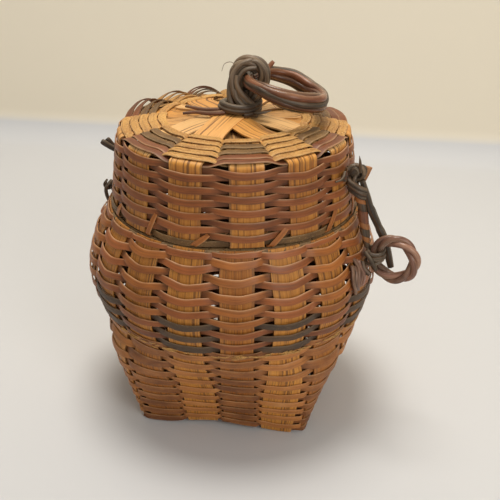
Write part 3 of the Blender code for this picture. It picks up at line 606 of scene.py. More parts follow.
def bodyRadius(angle, z):
    power = 2 + (bodyShape["cornerPower"] - 2) * squareness(z)
    spread = np.abs(np.cos(angle)) ** power + np.abs(np.sin(angle)) ** power
    away = (np.degrees(angle) + bodyShape["fullSide"]) % 360 - 180
    fuller = bodyShape["fuller"] * np.exp(-(away / 50) ** 2)
    fuller = fuller * smoothStep((z - 45) / 15) * smoothStep((94 - z) / 7)
    return smoothCurve(bodyShape["profile"], z) * spread ** (-1 / power) + fuller


def bodyPoint(angle, z, offset):
    lift = bodyShape["footLift"] * np.cos(2 * angle) ** 2 * np.clip(1 - z / bodyShape["liftHeight"], 0, 1)
    return around(angle, bodyRadius(angle, z) + offset, z + lift)


def bodyAt(u, z, offset):
    return bodyPoint(bodyAngle(u, z), z, offset)


def staveAngle(number, t, z):
    # direction of a place across a body stave, t from -1 to 1
    spread = t * bodyShape["staveWidth"] / 2 / smoothCurve(bodyShape["profile"], z)
    foot = footAngle(number)
    side = np.round(foot / (math.pi / 2)) * math.pi / 2
    footEdge = side + np.arctan(np.tan(foot - side) + spread)
    blend = squareness(z)
    return (1 - blend) * (number * math.tau / bodyShape["staves"] + spread) + blend * footEdge


bodyWeave = {
    "overEven": (91.6, 85.5, 79.3, 74.0, 68.9, 63.3, 57.4, 52.0, 46.8, 41.0, 34.6, 28.2, 22.3, 17.1, 12.2,
                 6.9, 1.9),
    "overOdd": (89.2, 82.9, 76.8, 71.6, 65.9, 60.3, 54.5, 49.3, 44.0, 38.2, 31.5, 25.0, 19.6, 14.6, 9.7,
                4.4),
    "upperWidth": 3.0,
    "lowerWidth": 3.45,
    "widths": {54.5: 3.6, 52.0: 3.0},       # rows that differ
    "darkLow": 52.5,
    "darkHigh": 66.5,
    "frayHeight": 52.4,
    "frays": 110,
    "frayRadii": (0.12, 0.26, 0.28, 0.2, 0.06),
    # directions where the frayed ends show
    "frayed": (-130, -122, -108, -84, -76, -71, -60, -54, -40, -33, -26, 20, 75, 120, 160),
}


def makeBodyWeave():
    heaps = {"upper": newHeap(), "dark": newHeap(), "lower": newHeap()}
    staves = bodyShape["staves"]
    for parity, heights in ((0, bodyWeave["overEven"]), (1, bodyWeave["overOdd"])):
        for z in heights:
            low = float(smoothStep((58 - z) / 12))
            width = bodyWeave["upperWidth"] + (bodyWeave["lowerWidth"] - bodyWeave["upperWidth"]) * low
            width *= 1 - 0.14 * float(smoothStep((26 - z) / 10))
            width *= 1 + (-0.14 if parity else 0.08) * low
            width = bodyWeave["widths"].get(z, width)
            pitch = math.tau * float(smoothCurve(bodyShape["profile"], z)) / staves
            if z > bodyWeave["darkHigh"]:
                band, slot, tone = ("upper", 0, 0.6) if parity else ("upper", 1, 0.45)
            elif z > bodyWeave["darkLow"]:
                band, slot, tone = ("dark", 0, 0.4) if parity else ("dark", 1, 0.55 if z > 60 else 0.2)
            else:
                band, slot, tone = ("lower", 0, 0.78) if parity else ("lower", 0, 0.4 if z > 44 else 0.27)
            addRow(heaps[band], bodyAt, staves, parity, z, width, slot, tone,
                   reach=bodyShape["staveWidth"] / 2 / pitch - 0.01, sag=1.2 * min(1.0, 0.25 + z / 90),
                   tilt=-0.1 - 0.1 * low, bulge=0.1 + 0.5 * float(smoothStep((z - 55) / 12)))
    # frayed ends of splits that stick out of the row at the turn from dark to pale
    for _ in range(bodyWeave["frays"]):
        turn = math.radians(rng.choice(np.array(bodyWeave["frayed"])) + rng.normal(0, 5.0))
        run = np.linspace(0, rng.uniform(1.5, 4.5), 5)
        z = bodyWeave["frayHeight"] + rng.normal(0, 0.55) + run * rng.normal(0, 0.16)
        stand = 0.1 + rng.uniform(0, 0.35) + 0.3 * np.sin(run / run[-1] * math.pi)
        path = bodyPoint(turn + run / 58, z, stand)
        addStrand(heaps["lower"], path, bodyWeave["frayRadii"], 0.9, 0.0, 1, False, 5, 0.7)
    for band, name, finish, slot, node in (
            ("upper", "upperWeave", ("redSplit", "orangeSplit"), "brown_split", "upper_weave"),
            ("dark", "darkBand", ("darkSplit", "redSplit"), "dark_split", "dark_band"),
            ("lower", "lowerWeave", ("tanSplit", "frayedSplit"), "tan_split", "lower_weave")):
        pieceFrom(heaps[band], name, finish, "basket", [node])


# tones of the staves in front; the others vary round 0.45
bodyStaveTones = {14: 0.12, 13: 0.55, 15: 0.6, 12: 0.45, 16: 0.45}


def makeBodyStaves():
    heap = newHeap()
    z = np.concatenate([np.linspace(0.2, 50, 60), np.linspace(51, bodyShape["top"] - 0.1, 50)])
    across, face = faceAndBack(9)
    for number in range(bodyShape["staves"]):
        parity = number % 2
        over, under = ("overOdd", "overEven") if parity else ("overEven", "overOdd")
        push = [np.exp(-((z[:, None] - bodyWeave[rows]) / 1.5) ** 2).sum(1) for rows in (under, over)]
        middle = split["stave"] + 0.10 * (push[0] - push[1])
        half = 1 + wobble(len(z), 0.012, 6, False)
        angle = staveAngle(number, across * half[:, None], z[:, None])
        grid = bodyPoint(angle, z[:, None], middle[:, None] + face * split["thick"])
        tone = bodyStaveTones.get(number, 0.45 + rng.normal(0, 0.12))
        darker = (-0.1 if parity else 0.4) * smoothStep((62 - z) / 30)
        grimeAndShade = 0.06 + (0.0 if parity else 0.16) * smoothStep((30 - z) / 20)
        # places across count double here, which makes the lines finer than on the lid
        addGrid(heap, grid, z, across * bodyShape["staveWidth"], tone - darker, np.abs(across) ** 6, grimeAndShade)
    nodes = [f"body_stave_{k + 1:02d}" for k in range(bodyShape["staves"])]
    pieceFrom(heap, "bodyStaves", ("goldSplit",), "basket", nodes)


makeBodyStaves()
makeBodyWeave()
print("body woven")


# Lid

lidShape = {
    "base": 97.1,
    "wallHeight": 33.2,
    "edgeRadius": 53.6,
    "topRadius": 49.9,
    "domeRise": 5.7,
    "bend": 2.6,             # radius of the turn from wall to top
    "staveWidth": 13.6,
    "directions": (2, 27, 52, 77, 101, 125, 149.5, 174, 200, 228.5, 256.5, 284.5, 311.5, 337.5),
    # on the top the staves at the back left have slipped
    "topDirections": (2, 27, 52, 77, 98, 117, 138, 161, 194, 228.5, 256.5, 284.5, 311.5, 337.5),
    "overOdd": (126.4, 121.4, 116.6, 111.4, 106.4, 101.1),
    "overEven": (124.2, 119.1, 114.2, 109.2, 103.8),
    "lastRow": 98.7,
    "rowWidth": 2.9,
    "slope": -0.75,          # rows stand this much higher at -X than at +X
    "crossing": 28.5,        # reach of the bare crossing of the splits
    "order": (3, 5, 2, 6, 1, 0, 4),                      # splits from the top of the crossing down
    "shifts": (2.0, -1.5, 1.0, -0.8, 0.0, 5.0, -2.0),    # how far each split passes beside the middle
    "shaded": 4,             # the split that gets the most painted shade at the crossing, where the others cover it
    "crown": 0.18,           # how much a split bows across its width
}
lidCount = len(lidShape["directions"])
domeEdge = lidShape["base"] + lidShape["wallHeight"]
domeTop = domeEdge + lidShape["domeRise"]


def lidAngle(u, places="directions"):
    u = np.asarray(u, float)
    rounds = np.floor(u / lidCount)
    table = np.radians(lidShape[places] + (360 + lidShape[places][0],))
    return np.interp(u - rounds * lidCount, np.arange(lidCount + 1), table) + rounds * math.tau


def lidRadius(z):
    share = (z - lidShape["base"]) / lidShape["wallHeight"]
    return lidShape["edgeRadius"] + (lidShape["topRadius"] - lidShape["edgeRadius"]) * share


def lidAt(u, z, offset):
    angle = lidAngle(u)
    z = z + lidShape["slope"] * np.cos(angle) * np.clip((z - 99.5) / 8, 0, 1)
    return around(angle, lidRadius(z) + offset, z)


def domeHeight(reach):
    return domeEdge + lidShape["domeRise"] * (1 - (np.asarray(reach, float) / lidShape["topRadius"]) ** 2)


def lidTopAt(u, reach, offset):
    return around(lidAngle(u, "topDirections"), reach, domeHeight(reach) + offset)


def makeLidWall():
    heap = newHeap()
    for parity, heights in ((1, lidShape["overOdd"]), (0, lidShape["overEven"])):
        for z in heights:
            addRow(heap, lidAt, lidCount, parity, z, lidShape["rowWidth"], 0, 0.45, 0.29, 0.8, -0.1)
    pieceFrom(heap, "lidWallWeave", ("redSplit",), "lid", ["lid_wall_weave"])
    heap = newHeap()
    addRow(heap, lidAt, lidCount, 0, lidShape["lastRow"], 2.5, 0, 0.3, 0.29, 0.2, -0.05)
    pieceFrom(heap, "lidEdgeRow", ("oliveSplit",), "lid", ["lid_edge_row"])


def lidSplitProfile(layer):
    # reach and height of a lid split from the mouth up its wall, over the edge and to near the middle
    depth = -split["stave"]
    points = [(lidRadius(z) - depth, z) for z in np.linspace(97.4, 126.8, 34)]
    side, top = lidRadius(127.6) - depth, domeHeight(46.5) - depth
    bend = lidShape["bend"] - depth * 0.5
    for k in range(1, 8):
        turn = math.radians(90 * k / 7)
        rise = top - bend + bend * math.sin(turn) - 0.15 * (1 - k / 7)
        points.append((side - bend * (1 - math.cos(turn)), rise))
    for reach in np.linspace(points[-1][0] - 1.5, 5.0, 24):
        inner = float(smoothStep((lidShape["crossing"] + 2.5 - reach) / 5.0))
        low = depth * (1 - inner) + inner * (0.32 + 0.5 * layer)
        points.append((reach, float(domeHeight(reach)) - low))
    return np.array(points).T


def makeLidSplits():
    # seven splits, each up one side of the lid, across its top and down the other side
    heap = newHeap()
    across, face = faceAndBack(7)
    for number, shift in enumerate(lidShape["shifts"]):
        layer = lidShape["order"].index(number)
        reach, height = lidSplitProfile(layer)
        turns = [math.radians(lidShape["directions"][k]) for k in (number, number + 7)]
        path = np.concatenate([around(turns[0], reach, height), around(turns[1], reach, height)[::-1]])
        flat = unit(path * (1, 1, 0))
        half = len(path) // 2
        sideways = np.cross((0, 0, 1.0), flat)
        sideways[half:] *= -1
        sideways[half - 2:half + 2] = unit(sideways[half - 3] + sideways[half + 2])
        normals = unit(np.cross(sideways, unit(np.gradient(path, axis=0))))
        length = pathLength(path)
        crossing = smoothStep((36 - np.linalg.norm(path[:, :2], axis=1)) / 14) * (path[:, 2] > 130)
        path = path + sideways * (crossing * shift)[:, None]
        width = lidShape["staveWidth"] / 2 * (1 + wobble(len(path), 0.012, 5, False) - 0.1 * crossing)
        # bowed a little on the top, and round like the wall below it
        reach = across * width[:, None]
        radial = np.linalg.norm(path[:, :2], axis=1)[:, None]
        onWall = smoothStep((129.5 - path[:, 2]) / 3)[:, None]
        bow = face * split["thick"] + (1 - across ** 2) * lidShape["crown"] * (1 - onWall)
        curve = onWall * (np.sqrt(np.maximum(radial ** 2 - reach ** 2, 1)) - radial)
        grid = layOut(path, (sideways, reach), (normals, bow), (flat, curve))
        tone = 0.5 + rng.normal(0, 0.10)
        # painted light and shade: the splits are painted paler on the lid's top, as lit from above, and a
        # little darker on its wall, and the lower splits get painted shade at the crossing, the shaded one
        # most
        onTop = smoothStep((path[:, 2] - 127.5) / 2)
        shade = 0.5 * crossing if number == lidShape["shaded"] else 0.05 * layer * crossing
        addGrid(heap, grid, length, across * lidShape["staveWidth"] / 2, tone + 0.6 * onTop,
                np.abs(across) ** 6, 0.05 * (1 - onTop) + shade, flip=True)
    nodes = [f"lid_stave_{k + 1:02d}" for k in range(lidCount)] + ["lid_top"]
    pieceFrom(heap, "lidSplits", ("goldSplit",), "lid", nodes)


lidTopWeave = {
    # reach, finish (0 tan, 1 brown, 2 olive), and how far the row has sprung up at the back left
    "overEven": ((30.4, 0, 0), (34.4, 0, 1.2), (38.3, 0, 1.8), (42.2, 0, 2.4), (46.0, 0, 2.9)),
    "overOdd": ((31.6, 0, 0), (36.3, 2, 2.0), (40.2, 2, 2.7), (44.0, 1, 3.3), (47.3, 1, 3.6)),
    "tones": (0.55, 0.15, 0.35),
    "sprung": ((128, 26), (138, 42), (138, 42)),      # middle and spread in degrees, for each finish
    "width": 3.7,
}


def makeLidTop():
    heap = newHeap()
    u = np.arange(lidCount * split["steps"]) / split["steps"]
    angle = np.degrees(lidAngle(u, "topDirections")) % 360
    for parity, rows in ((0, lidTopWeave["overEven"]), (1, lidTopWeave["overOdd"])):
        for reach, kind, curl in rows:
            share = lidShape["staveWidth"] / 2 / (math.tau * reach / lidCount)
            middle, spread = lidTopWeave["sprung"][kind]
            sprung = curl * np.exp(-((angle - middle) / spread) ** 2)
            addRow(heap, lidTopAt, lidCount, parity, reach, lidTopWeave["width"], kind,
                   lidTopWeave["tones"][kind], min(share, 0.42), -0.3, 0.28, 0.35, sprung, 0.35, True)
    finish = ("frayedSplit", "redSplit", "oliveSplit")
    pieceFrom(heap, "lidTopWeave", finish, "lid", ["top_weave"])


stitches = {
    # where the front ones start and end, in degrees, and their height
    "front": ((-121.5, -117.5, 107.0), (-99.0, -92.0, 102.5), (-66.0, -57.0, 105.0), (-37.0, -28.0, 107.0)),
    "frontSpan": (-128, -28),
    "outline": ((-2.6, 100.5), (-2.65, 98.6), (-1.9, 97.45), (-0.9, 97.4), (0.02, 98.2), (0.12, 99.6)),
    "width": 2.3,
    "thick": 0.5,
}


def makeStitches():
    # the front ones first, then one in each other gap between two staves
    places = list(stitches["front"])
    directions = lidShape["directions"] + (360 + lidShape["directions"][0],)
    left, right = stitches["frontSpan"]
    for k in range(lidCount):
        facing = ((directions[k] + directions[k + 1]) / 2 + 180) % 360 - 180
        if not left < facing < right:
            ends = facing - 2 + rng.normal(0, 1), facing + 2 + rng.normal(0, 1.5)
            places.append((*ends, 104.5 + rng.normal(0, 1.5)))
    for number, (low, high, top) in enumerate(places):
        heap = newHeap()
        upward = [(0.12 - 0.9 * s ** 3, 99.6 + (top - 99.6) * s) for s in np.linspace(0, 1, 6)[1:]]
        offset, height = smoothPath([*stitches["outline"], *upward], 26).T
        turn = np.radians(low + (high - low) * np.clip((height - 97.4) / (top - 97.4), 0, 1))
        path = around(turn, lidRadius(height) + offset, height)
        tangents = unit(np.gradient(path, axis=0))
        sideways = unit(np.cross((0, 0, 1.0), around(turn)))
        sideways = unit(sideways - tangents * (sideways * tangents).sum(1, keepdims=True))
        half = stitches["width"] / 2 * np.interp(np.linspace(0, 1, len(path)), (0, 0.8, 1), (1, 1, 0.75))
        grid = layOut(path, (sideways, split["across"] * half[:, None]),
                      (np.cross(sideways, tangents), split["depth"] * stitches["thick"]))
        across = split["across"] * stitches["width"] / 2
        addGrid(heap, grid, pathLength(path), across, 0.55, split["edge"], 0.0, flip=True)
        nodes = [f"edge_stitch_{number + 1}"] if number < len(stitches["front"]) else []
        pieceFrom(heap, f"edgeStitch{number + 1}", ("orangeSplit",), "lid", nodes)


makeLidSplits()
makeLidWall()
makeLidTop()
makeStitches()
print("lid woven")


# Rim, neck and base

rimShape = {
    "canes": ((51.0, 95.9), (52.45, 96.0), (53.85, 95.95)),      # reach, height
    "caneRadius": 0.72,
    "lashes": 54,
}
lashing = {"radius": 0.3, "steps": 14}      # steps in each turn


def addLashing(heap, lashes, reach, height, limit, tone, grimeAndShade, slot):
    # a thin cane wound over a hoop all the way round; reach and height are a middle and a swing
    share = np.linspace(0, 1, lashes * lashing["steps"], endpoint=False)
    lay = math.tau * lashes * share
    rise = np.minimum(height[0] + height[1] * np.sin(lay), limit)
    path = around(math.tau * share, reach[0] + reach[1] * np.cos(lay), rise)
    addStrand(heap, path, lashing["radius"], tone, grimeAndShade, slot, True, 6)


def makeRim():
    heap = newHeap()
    turn = fullTurn(160)
    for reach, height in rimShape["canes"]:
        tone = 0.4 + rng.normal(0, 0.08)
        addStrand(heap, around(turn, reach, height), rimShape["caneRadius"], tone, closed=True)
    addRow(heap, bodyAt, bodyShape["staves"], 1, 94.6, 2.6, 1, 0.4, 0.34, 0.3, -0.1)
    addRow(heap, bodyAt, bodyShape["staves"], 0, 95.6, 1.9, 1, 0.6, 0.34, 0.0, -0.05)
    addLashing(heap, rimShape["lashes"], (52.45, 2.3), (95.75, 0.98), 96.5, 0.5, 0.1, 0)
    pieceFrom(heap, "bodyRim", ("oliveSplit", "redSplit"), "basket", ["body_rim"])


neckShape = {"outer": 50.2, "thick": 0.7, "low": 89.8, "high": 104.2, "bands": 3, "lashes": 60}


def makeNeck():
    heap = newHeap()
    outer, thick, high = (neckShape[key] for key in ("outer", "thick", "high"))
    span = (high - neckShape["low"]) / neckShape["bands"]
    angle = fullTurn(140)
    for k in range(neckShape["bands"]):
        reach = outer - thick - 0.08 - 0.12 * np.sin(14 * angle + k * math.pi)
        height = neckShape["low"] + span * (k + 0.5) + split["across"] * (span / 2 - 0.05)
        grid = around(angle[:, None], reach[:, None] + split["depth"] * thick, height)
        addGrid(heap, grid, angle * outer, split["across"] * span / 2, 0.35 + 0.1 * k, split["edge"], 0.0,
                closed=True)
    addLashing(heap, neckShape["lashes"], (outer - 0.75, 0.72), (high - 1.15, 1.1), high, 0.6, 0.0, 1)
    pieceFrom(heap, "neckCollar", ("oliveSplit", "orangeSplit"), "basket", ["neck_collar"])


baseShape = {
    "half": 36.4,
    "splitHalf": 6.7,
    "thick": 0.56,
    "flat": 0.62,           # share of the way out from which the edges rise
    "rise": 2.6,
    "sets": ((5, 14.6), (4, 16.6)),     # splits along X, then along Y, and how far apart they lie
}


def makeBase():
    # the staves run on across the base, over and under each other
    heap = newHeap()
    half, flat = baseShape["half"], baseShape["flat"]
    across, face = faceAndBack(5)
    along = np.linspace(-half, half, 61)
    for axis, (count, pitch) in enumerate(baseShape["sets"]):
        crossings, crossPitch = baseShape["sets"][1 - axis]
        for k in range(count):
            place = along / crossPitch + (crossings - 1) / 2
            wave = np.clip(np.cos(math.pi * (place + k + axis)) * 1.6, -1, 1)
            offset = (k - (count - 1) / 2) * pitch + across * baseShape["splitHalf"]
            x, y = np.meshgrid(along, offset, indexing="ij")
            edge, corner = (pick(np.abs(x), np.abs(y)) / half for pick in (np.maximum, np.minimum))
            rise = np.clip((edge - flat) / (1 - flat), 0, 1) * baseShape["rise"] * (1 - corner ** 2)
            z = 0.75 + rise + 0.38 * wave[:, None] + face * baseShape["thick"]
            grid = np.stack([y, x, z] if axis else [x, y, z], -1)
            addGrid(heap, grid, along, across * baseShape["splitHalf"], 0.4 + rng.normal(0, 0.1), 0.0, 0.08,
                    flip=axis == 1)
    pieceFrom(heap, "baseMat", ("tanSplit",), "basket", ["base_mat"])


makeRim()
makeNeck()
makeBase()
print("rim, neck and base made")


# Knob and its ring

knobShape = {
    "baseX": 2.5,
    "lean": 15.0,
    "eyeHeight": 15.9,
    "eyeRadius": 6.0,
    "open": 50.0,
    "footSpread": 3.5,
    "strands": 4,
    "offset": 1.45,
    "strandRadius": 1.35,
    "twists": 1.6,
    "cover": (              # canes over the stem: across, up and y of their points, radii at the ends, tone
        (((-1.0, 22.8, -1.2), (-4.6, 20.2, -2.2), (-6.5, 16.0, -2.3), (-6.0, 11.5, -2.8), (-3.6, 7.0, -3.5),
          (0.4, 3.2, -3.9), (4.6, 0.6, -3.2)), (1.2, 1.6), 0.85),
        (((1.8, 20.4, -2.2), (-1.8, 18.8, -2.8), (-3.5, 16.4, -2.9), (-3.8, 12.4, -3.3), (-1.5, 8.0, -3.9),
          (2.4, 4.9, -3.9), (6.2, 2.6, -2.2)), (1.0, 1.5), 0.5),
        (((-7.2, 13.5, -0.6), (-6.8, 9.5, -1.6), (-5.4, 5.0, -2.7), (-2.6, 1.5, -3.6), (0.6, -0.6, -3.8)),
         (1.2, 1.6), 0.3),
        (((-5.0, 15.4, -3.6), (-4.2, 12.2, -4.0), (-2.2, 9.6, -4.3), (1.0, 7.6, -4.4), (4.4, 5.4, -3.6),
          (6.8, 2.6, -2.0)), (1.0, 1.5), 0.65),
        (((-4.2, 9.4, -3.6), (-2.2, 6.4, -4.3), (1.4, 4.2, -4.6), (5.0, 2.2, -3.6), (7.0, 0.6, -1.8)),
         (1.1, 1.5), 0.45),
        (((-5.2, 8.0, 2.6), (-4.3, 12.0, 3.2), (-3.8, 15.5, 3.2), (-2.6, 18.4, 2.8), (0.0, 19.6, 2.2)),
         (1.3, 1.1), 0.3),
        (((-2.6, 22.0, -1.0), (1.6, 22.7, -1.5), (5.2, 20.6, -1.9), (7.0, 16.6, -1.7), (6.4, 12.4, -1.6),
          (4.4, 8.6, -2.6)), (1.2, 1.4), 0.7),
        (((1.2, 0, 2.8), (-0.6, 5, 3.0), (-3.6, 10, 2.6), (-5.6, 15, 1.8), (-4.0, 20, 1.6)),
         (1.5, 1.1), 0.3),
        (((5.0, 0, 1.6), (5.8, 5, 1.9), (6.4, 10, 1.8), (7.0, 15, 1.2), (5.6, 19.6, 1.0)), (1.4, 1.1), 0.4),
        (((0.0, 0, -0.6), (0.1, 5, -0.6), (-0.2, 9.6, -0.4)), (3.0, 1.7), 0.1),
        (((-4.8, 5.0, 1.4), (-2.2, 9.3, 1.9), (1.0, 10.2, 1.7), (4.0, 8.4, 1.4)), (1.3, 1.3), 0.2),
    ),
    # a fibre that has come loose
    "hair": ((-5.0, 17.0, -2.0), (-8.4, 19.6, -2.4), (-11.2, 18.0, -2.2), (-11.6, 14.6, -1.8)),
    "coilTurns": 2.3,
    "coilRadius": 1.5,
    # flat end of the cane, then two cut strips beside the knob
    "leaf": ((9.0, -5.4, 137.2), (11.6, -6.2, 137.5), (14.2, -6.6, 138.1), (16.6, -6.6, 138.9)),
    "cutStrips": (((-3.0, -5.9, 137.0), (-9.0, -7.4, 136.7), (-15.0, -6.6, 136.7), (-20.5, -7.2, 136.1)),
                  ((-5.5, -3.5, 137.2), (-12.0, -3.4, 137.0), (-17.0, -1.2, 136.9), (-21.0, 2.4, 136.2))),
}


def knobPlace(across, up, y=0.0):
    lean = math.radians(knobShape["lean"])
    across, up, y = (np.asarray(v, float)[..., None] for v in (across, up, y))
    return (np.array([knobShape["baseX"], 0, domeTop]) + across * (math.cos(lean), 0, -math.sin(lean))
            + up * (math.sin(lean), 0, math.cos(lean)) + y * (0, 1.0, 0))


def makeKnob():
    heap = newHeap()
    radius, middle = knobShape["eyeRadius"], knobShape["eyeHeight"]
    spread = math.pi / 2 + math.radians(knobShape["open"])
    turn = math.pi / 2 + spread * (1 - 2 * np.arange(15) / 14)
    arc = knobPlace(radius * np.cos(turn), middle + radius * np.sin(turn))
    foot = knobPlace((-knobShape["footSpread"], knobShape["footSpread"]), 0.4)
    path = smoothPath([foot[0], *arc, foot[1]], 90)
    frames = pathFrames(path, start=(0, 1, 0))
    routes = twisted(path, knobShape["strands"], knobShape["offset"], knobShape["twists"], 0.4, frames)
    for k, route in enumerate(routes):
        addStrand(heap, route, knobShape["strandRadius"], 0.3 + 0.15 * k, 0.05, sides=10)
    for points, radii, tone in knobShape["cover"]:
        addCane(heap, knobPlace(*np.transpose(points)), radii, 50, tone, 0.05, 0, 10, 0.85)
    # a cane that fills the top of the eye above the ring
    turn = np.linspace(math.radians(40), math.radians(213), 28)
    reach = np.linspace(2.5, 2.75, 28)
    inside = knobPlace(reach * np.cos(turn), middle + 0.2 + reach * np.sin(turn), 0.3 * np.cos(2 * turn))
    addStrand(heap, inside, np.linspace(1.2, 0.8, 28), 0.2, 0.2)
    addCane(heap, knobPlace(*np.transpose(knobShape["hair"])), (0.2, 0.09), 30, 0.9, 0.0, 0, 5)
    pieceFrom(heap, "knobEye", ("blackRattan",), "lid", ["knob_eye"])

    heap = newHeap()
    turns = knobShape["coilTurns"]
    share = np.linspace(0, 1, 130)
    lay = math.tau * turns * share - 1.2
    reach = 8.1 - 0.6 * share + 0.2 * np.sin(3 * lay)
    rise = 0.9 + 1.35 * turns * share + 0.3 * np.sin(2 * lay)
    x = knobShape["baseX"] - 0.7 + reach * np.cos(lay) + rise * 0.27
    path = np.stack([x, 0.94 * reach * np.sin(lay), domeTop + rise], -1)
    addStrand(heap, path, knobShape["coilRadius"], 0.2, 0.15, 0, False, 10, 0.9)
    leafRadii = 1.3 * np.sin(np.linspace(0.5, 3.0, 20)) + 0.1
    addStrand(heap, smoothPath(knobShape["leaf"], 20), leafRadii, 0.15, 0.2, flat=0.35)
    for points in knobShape["cutStrips"]:
        addCane(heap, points, (1.3, 0.8), 26, 0.2, 0.1, 1, 8, 0.8)
    pieceFrom(heap, "knobCoil", ("blackRattan", "redRattan"), "lid", ["knob_coil"])


topRing = {
    "seat": (6.2554, 0, 150.0154),
    "radius": 15.5,
    "tilt": 16.0,
    "spread": 1.2,          # how much looser the winding is away from the knob
    "strands": (            # offset, direction round the winding, radius, tone, finish: 0 red, 1 black
        (1.35, 1.75, 1.35, 0.00, 0),
        (1.30, 0.85, 1.55, 0.50, 0),
        (1.25, 0.05, 1.45, 0.05, 1),
        (1.25, -0.75, 1.50, 0.05, 0),
        (1.20, -1.60, 1.50, 0.00, 1),
        (1.15, 3.20, 1.45, 0.05, 1),
    ),
    "turnOver": 1.6,
    "nearRise": 1.3,        # both sides, near and far, lie a little higher than the ring's plane
    "farRise": 1.3,
    "stub": ((10.8, 11.2, 149.8), (12.9, 12.6, 152.0), (14.7, 13.6, 154.2)),
    "hair": ((14.0, -14.6, 149.0), (16.5, -16.4, 146.6), (19.5, -17.0, 143.2)),
}


def makeTopRing():
    heap = newHeap()
    tilt = math.radians(topRing["tilt"])
    along = np.array([math.cos(tilt), 0, -math.sin(tilt)])
    across = np.array([0, 1.0, 0])
    normal = np.cross(along, across)
    turn = np.linspace(-math.pi + 0.03, math.pi - 0.03, 160)      # the ends meet out of sight in the knob
    cosine, sine = np.cos(turn), np.sin(turn)
    out = np.outer(cosine, along) + np.outer(sine, across)
    path = np.array(topRing["seat"]) + along * topRing["radius"] + out * topRing["radius"]
    loose = 1 + topRing["spread"] * smoothStep((1 + cosine) / 1.4)
    near = smoothStep(-sine * 1.6) * smoothStep((1.1 + cosine) / 0.6)
    far = smoothStep(sine * 1.6) * smoothStep((0.8 - cosine) / 0.8) * smoothStep((1.05 + cosine) / 0.4)
    for offset, phase, radius, tone, slot in topRing["strands"]:
        # side by side on the near half, turned over on the far half, and wandering a little
        lay = phase + topRing["turnOver"] * smoothStep((turn + 0.7) / 1.9)
        lay = lay + 0.14 * np.sin(2 * turn + 2 * phase)
        sideways = np.cos(lay) * offset * (1 + 0.35 * (loose - 1))
        upward = np.sin(lay) * offset * loose + topRing["nearRise"] * near + topRing["farRise"] * far
        route = path + out * sideways[:, None] + normal * upward[:, None]
        radii = radius * (0.88 + 0.12 * (loose - 1)) * (1 + 0.08 * np.sin(5 * turn + 3 * phase))
        addStrand(heap, route, radii, tone + 0.25 * np.sin(3 * turn + 4 * phase), 0.0, slot, False, 10)
    stubRadii = [1.5] * 10 + [1.4, 1.1]
    addStrand(heap, smoothPath(topRing["stub"], len(stubRadii)), stubRadii, 0.8, flat=0.5)
    addCane(heap, topRing["hair"], (0.22, 0.1), 16, 0.9, 0.0, 0, 5)
    pieceFrom(heap, "topRing", ("redRattan", "blackRattan"), "top_ring", ["top_ring"])


makeKnob()
makeTopRing()
print("knob and ring made")


# Latch on the radius at -18 degrees

latch = {
    "angle": -18.0,
    "lug": (55.56, 118.1),          # reach, height
    "binding": (65.98, 83.0),
}


def latchPlace(reach, height, side=0.0):
    angle = math.radians(latch["angle"])
    reach, height, side = (np.asarray(v, float)[..., None] for v in (reach, height, side))
    out, behind = (math.cos(angle), math.sin(angle), 0), (-math.sin(angle), math.cos(angle), 0)
    return reach * out + side * behind + height * (0, 0, 1.0)


def latchPoints(rows):
    return latchPlace(*np.transpose(rows))


latchLug = {
    # reach, height and side of the points, then what addCane takes: two of the knot, a spike and a cut stub
    "canes": (
        (((53.9, 117.9, -1.7), (54.8, 118.8, -2.0), (55.6, 119.7, -1.7)), 1.25, 16, 0.0, 0.4),
        (((52.4, 119.4, -1.6), (53.6, 120.9, -1.2), (55.2, 121.2, -0.8)), 0.8, 20, 0.3),
        (((57.6, 118.8, -1.4), (57.5, 121.0, -1.6), (57.2, 123.4, -1.5), (56.6, 125.8, -1.2)),
         ((0, 0.35, 0.7, 1), (0.7, 0.85, 0.6, 0.08)), 20, 0.15, 0.0, 0, 8, 0.6),
        (((57.0, 113.6, 2.6), (58.2, 116.4, 2.8), (59.6, 120.2, 2.8)), 1.6, 16, 0.45, 0.0, 1, 10, 0.4,
         (0.3, -0.95, 0.0)),
    ),
}


def makeLatchLug():
    heap = newHeap()
    reach, height = latch["lug"]
    turn = fullTurn(48)
    cosine, sine = np.cos(turn), np.sin(turn)
    addStrand(heap, latchPlace(reach + 3.0 * cosine, height + 3.0 * sine), 1.0, 0.2, closed=True, sides=10)
    # its inside is nearly filled by a second turn, with a knot in front
    second = latchPlace(reach + 1.9 + 1.2 * cosine, height + 0.6 + 1.8 * sine, 1.5)
    addStrand(heap, second, 0.8, 0.0, 0.2, closed=True)
    turns = 3.1
    lay = np.linspace(0, math.tau * turns, 70)
    side = -0.9 + 0.35 * np.sin(lay / turns * 2)
    ball = latchPlace(reach - 0.5 + 1.5 * np.cos(lay), height + 0.6 + 1.5 * np.sin(lay), side)
    addStrand(heap, ball, 0.8, 0.15, 0.1)
    for points, *looks in latchLug["canes"]:
        addCane(heap, latchPoints(points), *looks)
    pieceFrom(heap, "latchLug", ("blackRattan", "orangeSplit"), "lid", ["latch_lug"])

    heap = newHeap()
    angle = np.radians(np.linspace(-30, -21.5, 24))
    bow = np.sin(np.linspace(0, math.pi, 24))
    for k in range(3):
        height = 115.9 + 0.95 * k + (1 - k) * 0.7 * bow - np.linspace(0.9, -0.9, 24) * (k - 1)
        route = around(angle, lidRadius(117.5) + 0.4 + 0.7 * bow, height)
        addStrand(heap, route, np.linspace(0.35, 0.6, 24), 0.15 + 0.15 * k, 0.15)
    pieceFrom(heap, "latchKnot", ("blackRattan",), "lid", ["latch_knot"])


